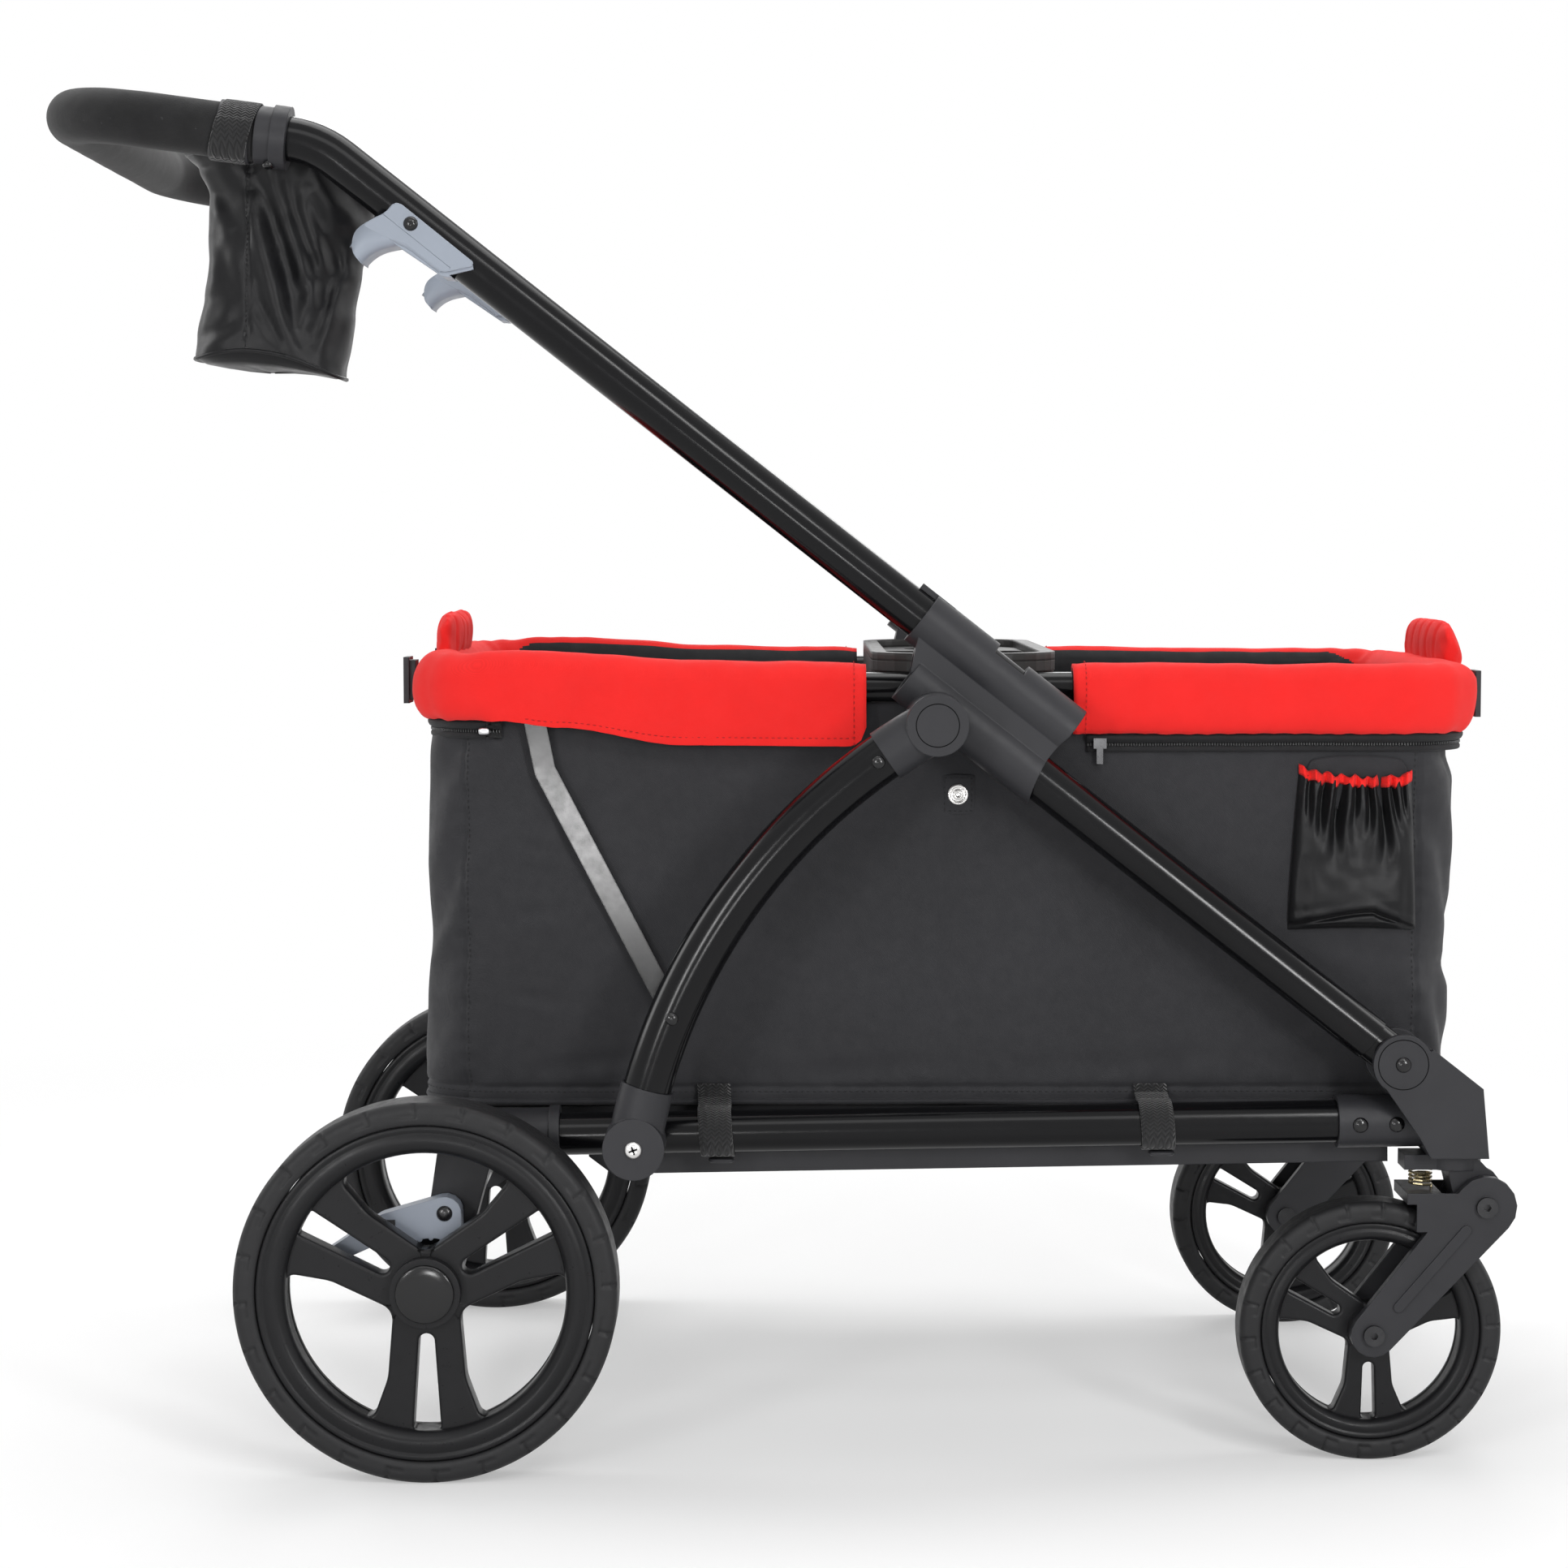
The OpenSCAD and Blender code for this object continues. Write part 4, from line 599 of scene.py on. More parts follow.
def loop_places(fine, coarse):
    """Places all round the rim: x, y, heading, and the distance into a corner or None."""
    out = []
    sides = [
        (lambda d: (REAR_TURN_X + d, RIM_Y, math.pi / 2), FRONT_TURN_X - REAR_TURN_X),
        (lambda d: (FRONT_X, TURN_Y - d, 0.0), 2 * TURN_Y),
        (lambda d: (FRONT_TURN_X - d, -RIM_Y, -math.pi / 2), FRONT_TURN_X - REAR_TURN_X),
        (lambda d: (REAR_X, d - TURN_Y, math.pi), 2 * TURN_Y),
    ]
    corners = [(FRONT_TURN_X, TURN_Y, math.pi / 2), (FRONT_TURN_X, -TURN_Y, 0.0),
               (REAR_TURN_X, -TURN_Y, -math.pi / 2), (REAR_TURN_X, TURN_Y, math.pi)]
    for (side, long), (cx, cy, a0) in zip(sides, corners):
        n = int(long / coarse)
        for i in range(n):
            x, y, a = side(long * i / n)
            out.append((x, y, a, None))
        n = int(TURN * math.pi / 2 / fine)
        for i in range(n):
            turn = math.pi / 2 * i / n
            a = a0 - turn
            out.append((cx + TURN * math.cos(a), cy + TURN * math.sin(a), a, TURN * turn))
    return out


# Tub: one sewn shell with its lining, hem and seams

HEM_Z, WALL_TOP = 272.0, 588.6
REAR_LINE = [(272, 9.6), (285, 11.0), (303, 12.2), (349, 9.6), (408, 6.2), (466, 8.8), (544, 6.8), (588, 2.6)]
FRONT_LINE = [(272, -1.4), (288, -1.2), (302, -5.6), (335, -2.4), (358, -2.6), (379, -8.4), (390, -7.0), (440, -1.2),
              (485, 0.8), (524, 0.4), (547, -6.2), (566, -4.0), (588, -0.5)]
REAR_SEAM, FRONT_SEAM = TURN * math.radians(31), TURN * math.radians(20)


def crease(x, z, line):
    """A soft valley with a swell beside it, along a line: start, end, width, depth."""
    (x0, z0), (x1, z1), wide, deep = line
    dx, dz = x1 - x0, z1 - z0
    t = ((x - x0) * dx + (z - z0) * dz) / (dx * dx + dz * dz)
    tc = clamp(t)
    away = math.hypot(x - x0 - dx * tc, z - z0 - dz * tc)
    if away > 5 * wide:
        return 0.0
    side = ((x - x0) * dz - (z - z0) * dx) / math.hypot(dx, dz)
    taper = math.sin(math.pi * min(max(tc, 0.04), 0.96)) ** 0.6
    swell = 0.55 * math.exp(-(((side - 1.9 * wide) / wide) ** 2) - (t - tc) ** 2 * 30)
    return deep * taper * (swell - bell(away, wide))


# Drag lines and dents on the long sides: start, end, width, depth
SIDE_CREASES = [((408, 560), (404, 300), 7, 1.2), ((330, 575), (352, 470), 10, 1.4), ((120, 560), (96, 430), 9, 1.2),
                ((70, 300), (170, 312), 6, 1.3), ((250, 296), (400, 306), 7, 1.2), ((440, 300), (640, 312), 8, 1.2),
                ((560, 570), (610, 520), 9, 1.2), ((640, 330), (740, 350), 8, 1.3), ((500, 470), (640, 420), 16, 1.1),
                ((220, 420), (300, 380), 14, 1.0), ((60, 480), (96, 470), 5, 1.3), ((58, 420), (92, 426), 5, 1.4),
                ((60, 360), (100, 352), 5, 1.3), ((742, 470), (768, 440), 6, 1.2), ((700, 400), (766, 386), 7, 1.2)]


def seam_dip(away, deep, wide):
    return -deep * bell(away, wide)


def wall_out(x, y, a, corner, z):
    """How far the tub's outer face stands outside the rim's middle line."""
    endwise = math.cos(a)
    high = (z - HEM_Z) / (WALL_TOP - HEM_Z)
    side = 2.4 + 1.6 * math.sin(math.pi * clamp(high))
    side += 1.2 * rough_at(x, y, z, 150, 1.3) + 0.5 * rough_at(x, y, z * 0.6, 55, 4.1)
    side += 0.45 * rough_at(x, y, z, 24, 7.7) * (0.4 + 0.6 * (1 - high))
    if abs(y) > 190:
        side += sum(crease(x, z, line) for line in SIDE_CREASES)
        side += 0.8 * math.sin((x + 6 * rough_at(x, y, z, 50, 2.7)) / 8.5) * bell(z - 296, 13)
        side += 0.55 * math.sin((x + 9 * rough_at(x, y, z, 40, 6.7)) / 10.5) * bell(z - 580, 16)
    end = soft_table(REAR_LINE if endwise < 0 else FRONT_LINE, z)
    end += 1.1 * rough_at(x, y, z, 90, 2.2) + 0.5 * rough_at(x, y, z, 30, 5.5)
    w = endwise * endwise
    n = lerp(side, end, w)
    if corner is not None:
        seam = REAR_SEAM if x < MIDDLE_X else FRONT_SEAM
        long = TURN * math.pi / 2
        into = corner if (x > MIDDLE_X) == (y > 0) else long - corner
        away = into - seam
        n += seam_dip(away, 1.5, 1.5)
        n += 0.9 * math.sin(z / 2.6 + 2 * rough_at(0, y, z, 40, 3.0)) * bell(away, 8)
        pull = max(0.0, rough_at(0, y, z, 21, 5.2)) ** 1.5
        n -= 4.2 * pull * bell(away - 6, 13)
        n += 1.9 * math.sin(z / 15 + into / 8 + 3 * rough_at(x, y, z, 60, 8.0)) * math.sin(math.pi * into / long)
    n += seam_dip(z - 286, 1.6, 1.8)
    n += 0.75 * math.sin((x + y) / 3.4 + 2 * rough_at(x, y, 0, 30, 1.9)) * bell(z - 291, 6)
    if z < 290:
        n = max(n, -1.4)
    if abs(y) > 200:
        n = min(n, 6.2)
    return n


def wall_point(x, y, a, corner, z, lift=0.0):
    """A point on the tub's outer face, or lift outside it."""
    return outward(x, y, a, wall_out(x, y, a, corner, z) + lift, z)


LOW_ROWS, INNER_LOW = [272, 274, 277, 280, 283, 285, 286.5, 288, 291, 295], 283.0
outer_rows = LOW_ROWS + [lerp(LOW_ROWS[-1], WALL_TOP, i / 72) for i in range(1, 73)]
inner_rows = [lerp(WALL_TOP, INNER_LOW, i / 22) for i in range(23)]
rings = []
for x, y, a, corner in loop_places(2.0, 4.5):
    ring = [wall_point(x, y, a, corner, z) for z in outer_rows]
    ring += [wall_point(x, y, a, corner, z, -3.4 - 0.8 * abs(rough_at(x, y, z, 70, 9.1))) for z in inner_rows]
    rings.append(ring)
v, f = strips(rings, True, True)
count = len(outer_rows) + len(inner_rows)
picks = [0 if (k % count) < len(outer_rows) - 1 else 1 for k in range(len(f))]
tub = piece("tub_shell", v, f, [FABRIC, LINING], "chassis", picks)
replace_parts(tub, "side_wall_left", "side_wall_right", "end_wall_front", "end_wall_rear")


def folds_with_tub(ob):
    """Takes a piece off its body and bakes its place into the mesh, so that it no longer rides on any body."""
    bpy.context.view_layer.update()
    world = ob.matrix_world.copy()
    ob.parent = None
    ob.matrix_world = world
    del ob["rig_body"]
    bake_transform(ob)


hem_path = []
for x, y, a, corner in loop_places(5.0, 9.0):
    n = wall_out(x, y, a, corner, HEM_Z + 1) + 0.2
    hem_path.append(outward(x, y, a, n, HEM_Z + 2.6 + 0.5 * rough_at(x, y, 0, 40, 2.0)))
hem = tube("tub_hem_piping", hem_path, 2.3, FABRIC, "chassis", 8, True)

# Stitch rows beside the corner seams and along the lower hem
SEAM_ROW_OFF, HEM_ROW_Z = 3.2, 282.5
seam_places = ((FRONT_TURN_X, TURN_Y, FRONT_SEAM), (FRONT_TURN_X, -TURN_Y, FRONT_SEAM),
               (REAR_TURN_X, -TURN_Y, REAR_SEAM), (REAR_TURN_X, TURN_Y, REAR_SEAM))
for row, (cx, cy, first) in enumerate(seam_places, 1):
    into = first - SEAM_ROW_OFF
    forward = (cx > MIDDLE_X) == (cy > 0)
    a = math.copysign(math.pi / 2, cy) + (-into if forward else into) / TURN
    x, y, _ = outward(cx, cy, a, TURN, 0)
    corner = into if forward else TURN * math.pi / 2 - into
    line = [wall_point(x, y, a, corner, lerp(290, 580, i / 59), 0.1) for i in range(60)]
    outs = [outward(0, 0, a, 1, 0)] * len(line)
    folds_with_tub(stitches("seam_stitches_%d" % row, line, outs, THREAD, "chassis", 2.6, 2.0, 0.3))
places = loop_places(3.0, 4.0)
places.append(places[0])
stitches("hem_stitches", [wall_point(*place, HEM_ROW_Z, 0.1) for place in places],
         [outward(0, 0, a, 1, 0) for x, y, a, corner in places], THREAD, "chassis", 2.8, 2.0, 0.3)
folds_with_tub(tub)

# Snap button on its stitched patch, both sides
SNAP_X, SNAP_Z = 408, 516.5
SNAP_PROFILE = [(8.2, 0.6), (8.2, 1.6), (7.6, 2.3), (6.7, 2.5), (6.0, 2.0), (5.4, 1.3), (4.4, 1.2), (3.9, 1.6),
                (3.6, 2.6), (2.9, 3.1), (2.2, 2.8), (1.8, 1.9), (0.9, 1.7), (0.01, 1.7)]
for tag, sgn in SIDES:
    face = RIM_Y + wall_out(SNAP_X, sgn * RIM_Y, sgn * math.pi / 2, None, 516) + 0.15
    rings = []
    for grow, up in ((0, -0.6), (0, 0.5), (-0.6, 0.95), (-4.0, 1.0)):
        ring = []
        for a in turns(40):
            cx, cz = math.cos(a), math.sin(a)
            box = max(abs(cx), abs(cz)) ** -0.86
            ring.append((SNAP_X + (13.5 + grow) * cx * box, sgn * (face + up), SNAP_Z + (16 + grow) * cz * box))
        rings.append(ring)
    patch = skin("snap_patch_" + tag, rings, FABRIC, "chassis", caps=True)
    line = [(SNAP_X + 10.5 * sx, sgn * (face + 1.0), SNAP_Z + 13 * sz)
            for sx, sz in ((-1, -1), (1, -1), (1, 1), (-1, 1), (-1, -1))]
    row = stitches("snap_stitches_" + tag, line, [(0, sgn, 0)] * 5, THREAD, "chassis", 2.4, 1.8, 0.3)
    snap = lathe("snap_button_" + tag, SNAP_PROFILE, (SNAP_X, sgn * face, SNAP_Z), (0, sgn, 0), BRIGHT, "chassis")
    for ob in (patch, row, snap):
        folds_with_tub(ob)

# Floor mat on the board, with sewn folds across it
BOARD_Z, RAIL_RISE = 267.9, math.tan(math.radians(0.9))
MAT_REAR, MAT_FRONT, MAT_Y, MAT_TURN = 3.5, 796.5, 198, 49.0
rings = []
for i in range(121):
    x = lerp(MAT_REAR, MAT_FRONT, i / 120)
    dx = max(MAT_REAR + MAT_TURN - x, x - (MAT_FRONT - MAT_TURN), 0.0)
    limit = MAT_Y - (MAT_TURN - math.sqrt(max(MAT_TURN * MAT_TURN - dx * dx, 0.0)))
    ring = []
    for j in range(61):
        y = max(min(-199 + 398 * j / 60, limit), -limit)
        edge = min(limit - abs(y), x - MAT_REAR, MAT_FRONT - x)
        z = BOARD_Z + x * RAIL_RISE + 4.2 - 3.4 * math.exp(-edge / 4.0) + 0.5 * rough_at(x, y, 0, 60, 6.0)
        ring.append((x, y, z + sum(seam_dip(x - seam, 2.6, 3.0) for seam in (202, 400, 598))))
    rings.append(ring)
mat_ob = skin("floor_mat", rings, LINING, "chassis", False)
add_modifier(mat_ob, "SOLIDIFY", thickness=0.0025, offset=-1.0)

# Lining strip that closes the floor: sewn to the walls' foot, it runs in under the mat's edge
rings = []
for x, y, a, corner in loop_places(5.0, 9.0):
    foot = wall_out(x, y, a, corner, HEM_Z + 2) - 1.6
    top = BOARD_Z + x * RAIL_RISE
    rings.append([outward(x, y, a, n, z) for n, z in
                  ((foot, max(HEM_Z + 2.5, top + 2.0)), (foot - 4.5, top + 1.4), (-16.0, top + 0.8))])
floor_strip = skin("floor_strip", rings, LINING, "chassis", False, True)
add_modifier(floor_strip, "SOLIDIFY", thickness=0.0008, offset=0.0)

# Bolsters: padded sleeves over the rim, red outside and lined inside

OUT, INN, FLAP, LINED, SLEEVE, WIDEST = 20.2, 18.0, 3.7, 15.0, 12.8, 21.2
# Drop, reach and rise of the section, by the share of the way from the open end to the end's middle
REAR_TABLES = ([(0, 45.5), (0.25, 44.3), (0.42, 30.5), (0.5, 25.5), (1, 25.5)],
               [(0, 20.2), (0.486, 19), (0.6, 10.7), (0.75, 9.5), (1, 9.5)],
               [(0, 19.5), (0.25, 21.2), (0.36, 26.2), (0.47, 28.6), (0.7, 26.5), (1, 26.5)])
FRONT_TABLES = ([(0, 36.5), (1, 36.5)], [(0, 10.7), (0.1, 9.5), (1, 9.5)], [(0, 19.5), (0.4, 17.8), (1, 17.6)])
HEM_IN, REAR_ROUND = 9.5, 15.0


def bolster_section(t, d_open, tables, corner_round):
    """Outer and inner outline of the sleeve, as (outside the rim, over the rim)."""
    drop, reach, up = (soft_table(pairs, t) for pairs in tables)
    if corner_round and d_open < corner_round:
        drop -= corner_round - math.sqrt(corner_round ** 2 - (corner_round - d_open) ** 2)
    if d_open < 10:
        up *= lerp(0.93, 1.0, ease(d_open / 10))
    edge = [(1.0, 0.0), (0.9, 0.4), (0.66, 0.78), (0.28, 1.0)]
    outer = [(reach + (OUT - reach) * e[1], -drop * e[0]) for e in edge]
    inner = [(p - FLAP, z) for p, z in outer]
    outer += [((OUT if deg < 90 else INN) * math.cos(math.radians(deg)), up * math.sin(math.radians(deg)))
              for deg in (8, 24, 40, 56, 73, 90, 107, 124, 140, 156, 172)]
    inner += [(SLEEVE * math.cos(math.radians(deg)), SLEEVE * math.sin(math.radians(deg)))
              for deg in (10, 35, 62, 90, 118, 145, 172)]
    outer += [(-INN, -LINED / 2), (-INN + 0.6, -LINED)]
    inner += [(-SLEEVE, -LINED / 2), (-SLEEVE, -LINED)]
    fine = smooth_line([(p, z, 0) for p, z in outer], 3)
    return [(p.x, p.y) for p in fine], inner


def bolster(name, way, tables, corner_round, seed):
    rings, picks = [], []
    places = way.stations(4.0)
    for d in places:
        x, y, a, t = way.place(d)
        d_open = min(d, way.total - d)
        outer, inner = bolster_section(t, d_open, tables, corner_round)
        ring = []
        for k, (n, z) in enumerate(outer):
            share = k / (len(outer) - 1)
            prev, nxt = outer[max(k - 1, 0)], outer[min(k + 1, len(outer) - 1)]
            tn = Vector((nxt[0] - prev[0], nxt[1] - prev[1])).normalized()
            out = Vector((tn.y, -tn.x))
            puff = 0.9 * rough_at(d, 70 * share, 0, 46, seed) + 0.5 * rough_at(d, 90 * share, 0, 19, seed + 3)
            puff += 0.8 * rough_at(d, 20 * share, 0, 95, seed + 6)
            bend = bell(t - 0.75, 0.22) if t < 1 else 0.0
            puff += 0.7 * bend * math.sin(d / 4.2 + 2.5 * share + 2 * rough_at(d, 0, 0, 30, seed))
            low = max(0.0, 1 - share / 0.16)
            puff += 0.45 * low * math.sin(d / 2.7 + 2 * rough_at(d, 0, 0, 25, seed + 1))
            if share < 0.75:
                puff -= 0.7 * bell(d_open - HEM_IN, 1.3)
            fade = min(1.0, d_open / 3 + 0.3)
            tame = 0.35 if share > 0.8 else 1.0
            q = Vector((n, z)) + out * puff * fade * tame
            ring.append(outward(x, y, a, min(q.x, WIDEST), RIM_Z + q.y))
        rings.append(ring + [outward(x, y, a, n, RIM_Z + z) for n, z in reversed(inner)])
    v, f = strips(rings, True, False)
    n_ring, n_out = len(rings[0]), len(outer)
    for k in range(len(f)):
        station, i = divmod(k, n_ring)
        t = way.place(places[station])[3]
        turn_over = lerp(0.66, 0.86, ease((t - 0.5) / 0.4))
        red = i < turn_over * n_out or i >= n_ring - 2
        picks.append(0 if red else 1)
    n_in = len(inner)
    for start in (0, (len(rings) - 1) * n_ring):
        for i in range(n_out - 1):
            j0 = n_ring - 1 - int(i * (n_in - 1) / (n_out - 1))
            j1 = n_ring - 1 - int((i + 1) * (n_in - 1) / (n_out - 1))
            quad = [start + i, start + i + 1, start + j1, start + j0]
            if j0 == j1:
                quad = quad[:3]
            f.append(tuple(quad))
            picks.append(0 if i < 0.66 * n_out else 1)
    ob = piece(name + "_cover", v, f, [RED, LINING], "tub_rim", picks)
    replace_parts(ob, name)


def bolster_line(way, tables, corner_round, places, share):
    """A line on a bolster's outer skin, at a share round its section."""
    line, outs = [], []
    for d, s in zip(places, share):
        x, y, a, t = way.place(d)
        outer, inner = bolster_section(t, min(d, way.total - d), tables, corner_round)
        k = s * (len(outer) - 1)
        i = min(int(k), len(outer) - 2)
        p = Vector(outer[i]).lerp(Vector(outer[i + 1]), k - i)
        tn = (Vector(outer[i + 1]) - Vector(outer[i])).normalized()
        out = Vector((tn.y, -tn.x))
        p = p + out * 0.25
        line.append(outward(x, y, a, p.x, RIM_Z + p.y))
        outs.append(outward(0, 0, a, out.x, out.y))
    return line, outs


BOLSTERS = (("rear", Round(336, REAR_X), REAR_TABLES, REAR_ROUND, 11.0),
            ("front", Round(497, FRONT_X), FRONT_TABLES, 0.0, 23.0))
for end, way, tables, rounding, seed in BOLSTERS:
    bolster("bolster_" + end, way, tables, rounding, seed)
for end, way, tables, rounding, seed in BOLSTERS:
    for tag, sgn in SIDES:
        base = HEM_IN if sgn > 0 else way.total - HEM_IN
        line, outs = bolster_line(way, tables, rounding, [base] * 41, [0.02 + 0.6 * i / 40 for i in range(41)])
        stitches("end_stitches_%s_%s" % (end, tag), line, outs, RED_THREAD, "tub_rim", 2.6, 2.0, 0.3)
        if end == "rear":
            run = [10 + (way.side - 26) * i / 90 for i in range(91)]
            run = run if sgn > 0 else [way.total - d for d in run]
            line, outs = bolster_line(way, tables, rounding, run, [0.075] * 91)
            stitches("hem_stitches_rear_" + tag, line, outs, RED_THREAD, "tub_rim", 2.8, 2.0, 0.32)

# Head pads: stuffed, drawn in at their ends, with gathers


def inflate(ob, pressure, cap, frames=20):
    """Swells a closed mesh as cloth under pressure, with a cap on how far a point moves."""
    cloth = add_modifier(ob, "CLOTH")
    for key, value in (("use_pressure", True), ("uniform_pressure_force", pressure), ("quality", 4), ("mass", 0.2),
                       ("tension_stiffness", 12), ("compression_stiffness", 12), ("bending_stiffness", 0.6)):
        setattr(cloth.settings, key, value)
    cloth.settings.effector_weights.gravity = 0.0
    cloth.point_cache.frame_start, cloth.point_cache.frame_end = 1, frames
    rest = [v.co.copy() for v in ob.data.vertices]
    for k in range(1, frames + 1):
        scene.frame_set(k)
    graph = bpy.context.evaluated_depsgraph_get()
    mesh = bpy.data.meshes.new_from_object(ob.evaluated_get(graph))
    ob.modifiers.clear()
    scene.frame_set(1)
    for v, r in zip(mesh.vertices, rest):
        step = v.co - r
        if step.length > cap:
            v.co = r + step * (cap / step.length)
    ob.data = mesh


def head_pad(name, left, right, z0, z1, seed):
    """An ear of padding: left and right give its edges by height, seen from the side."""
    half, rows, climb = 90.0, 72, 24
    rings = []
    for k in range(rows + 1):
        v = -1 + 2 * k / rows
        draw = max(max(1 - abs(v) ** 4.0, 0.0) ** 0.3, 0.22)
        tall = (z1 - z0) * lerp(draw, 1.0, 0.5)
        ring = []
        for i in range(2 * climb):
            h = math.sin(math.pi / 2 * (i / climb if i <= climb else (2 * climb - i) / climb))
            lo, hi = soft_table(left, h), soft_table(right, h)
            x = lo if i <= climb else hi
            ring.append((lerp((lo + hi) / 2, x, draw), v * half, z0 + tall * h))
        rings.append(ring)
    ob = skin(name + "_cover", rings, RED, "tub_rim", caps=True)
    add_modifier(ob, "REMESH", mode="VOXEL", voxel_size=0.0042)
    apply_modifiers(ob)
    inflate(ob, 4.0, 0.0035)
    ob.data.materials.clear()
    ob.data.materials.append(RED)
    add_modifier(ob, "SMOOTH", factor=0.5, iterations=2)
    add_modifier(ob, "SUBSURF", levels=1, render_levels=1)
    apply_modifiers(ob)
    for vert in ob.data.vertices:
        x, y, z = (vert.co.x - AXLE) / MM, vert.co.y / MM, vert.co.z / MM
        high = clamp((z - z0) / (z1 - z0))
        mid = (soft_table(left, high) + soft_table(right, high)) / 2
        side = 1 if x > mid else -1
        gather = 0.0
        for seam in (-62, -31, 0, 31, 62):
            gather += seam_dip(y - seam - 2.5 * rough_at(0, seam, z, 14, seed), 2.6, 3.4) * (0.5 + 0.5 * high)
        gather += 1.2 * rough_at(x, y, z * 0.35, 11, seed + 2) * (1.25 - high)
        vert.co.x += side * gather * MM * (0.35 + 0.65 * min(1.0, abs(x - mid) / 9))
        vert.co.z += 0.5 * gather * MM * ease((high - 0.55) / 0.3)
        end = ease((abs(y) - 72) / 14)
        ripple = math.sin((x - mid) / 2.1 + 2.2 * rough_at(x, y, z, 16, seed) + 1.2 * math.sin(z / 8))
        vert.co.y += math.copysign(1.7 * end * ripple * (0.4 + 0.6 * high), y) * MM
        vert.co.x += 0.8 * end * math.sin(z / 3.3 + x / 5) * MM
    ob.data.polygons.foreach_set("use_smooth", [True] * len(ob.data.polygons))
    ob.data.update()
    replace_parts(ob, name)


head_pad("head_pad_rear", [(0, -12.0), (0.3, -13.0), (0.6, -12.2), (0.85, -9.0), (0.97, -6.5), (1, -5.5)],
         [(0, 1.0), (0.3, 2.2), (0.6, 2.8), (0.85, 2.0), (0.97, -0.5), (1, -2.0)], 615.0, 660.0, 31.0)
head_pad("head_pad_front", [(0, 806.0), (0.35, 804.0), (0.65, 804.0), (0.88, 807.0), (1, 812.0)],
         [(0, 828.0), (0.3, 828.0), (0.6, 825.0), (0.85, 820.0), (1, 816.0)], 607.0, 650.5, 47.0)

# Zip bands under the bolsters: fold, teeth and tape


ZIP_PROFILE = [(3.6, 0.6), (5.2, 0.0), (6.2, 0.8), (6.4, 2.6), (5.6, 4.4), (5.2, 5.2), (5.2, 6.6), (5.8, 7.4),
               (7.3, 8.4), (8.4, 10.4), (8.6, 12.4), (7.6, 13.7), (5.6, 14.0), (3.6, 13.4)]
TOOTH_PITCH = 2.1
SQUARE = ((-1, -1), (1, -1), (1, 1), (-1, 1))


def prism(base):
    """The four sides of a block whose corners start at base, four below and four above."""
    return [(base + k, base + (k + 1) % 4, base + 4 + (k + 1) % 4, base + 4 + k) for k in range(4)]


def zip_band(tag, way, z0):
    """z0 is the band's lower edge; the profile gives (outside the rim, over the edge)."""
    rings, beads, faces = [], [], []
    for d in way.stations(4.0):
        x, y, a, t = way.place(d)
        wave, lift = 0.35 * rough_at(d, 0, 0, 34, z0), 0.4 * rough_at(d, 9, 0, 60, z0)
        rings.append([outward(x, y, a, n + wave * (z > 7), z0 + z + lift) for n, z in ZIP_PROFILE])
    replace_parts(skin("zip_band_" + tag, rings, TAPE, "tub_rim", caps=True), "zip_bands")
    n = int(way.total / TOOTH_PITCH)
    for i in range(n):
        d = way.total * (i + 0.5) / n
        x, y, a, t = way.place(d)
        out = Vector(outward(0, 0, a, 1, 0))
        side = Vector((-out.y, out.x, 0))
        mid = Vector((x, y, z0 + 5.9 + 0.4 * rough_at(d, 9, 0, 60, z0))) + out * 5.5
        base = len(beads)
        for q, w, h in ((0, 0.75, 1.3), (0.9, 0.5, 0.9)):
            beads += [tuple(mid + out * q + side * su * w + Vector((0, 0, sz * h))) for su, sz in SQUARE]
        faces += [(base + 4, base + 5, base + 6, base + 7)] + prism(base)
    piece("zip_teeth_" + tag, beads, faces, [TEETH], "tub_rim", smooth=False)


zip_band("rear", Round(44, REAR_X), 560.7)
zip_band("front", Round(508, FRONT_X), 549.7)

# A small bright slider at each rear end of the rear zip
for tag, sgn in SIDES:
    rings = []
    for grow, out in ((0.0, 6.0), (0.0, 8.6), (-0.9, 9.6), (-2.2, 9.8)):
        rings.append([(38.5 + (4.4 + grow) * squarish(math.cos(a), 0.6), sgn * (RIM_Y + out),
                       566.6 + (2.9 + grow) * squarish(math.sin(a), 0.6)) for a in turns(24)])
    skin("zip_stop_" + tag, rings, ZINC, "tub_rim", caps=True)

# Side pocket with a gathered red elastic

POCKET_FACE, POCKET_MOST, ELASTIC_MOST = 208.4, 226.6, 229.0
POCKET_BELLY = [(0, 0.3), (0.05, 0.78), (0.2, 1.0), (0.5, 0.95), (0.8, 0.74), (0.95, 0.55), (1, 0.46)]
# Folds under the elastic: place along it, width, depth, reach down
POCKET_FOLDS = ((0.12, 0.020, 5.0, 0.40), (0.24, 0.026, 7.5, 0.52), (0.36, 0.032, 9.5, 0.66),
                (0.48, 0.020, 5.0, 0.34), (0.60, 0.022, 6.5, 0.42), (0.72, 0.032, 9.5, 0.68),
                (0.83, 0.022, 6.5, 0.46), (0.92, 0.018, 4.5, 0.34))


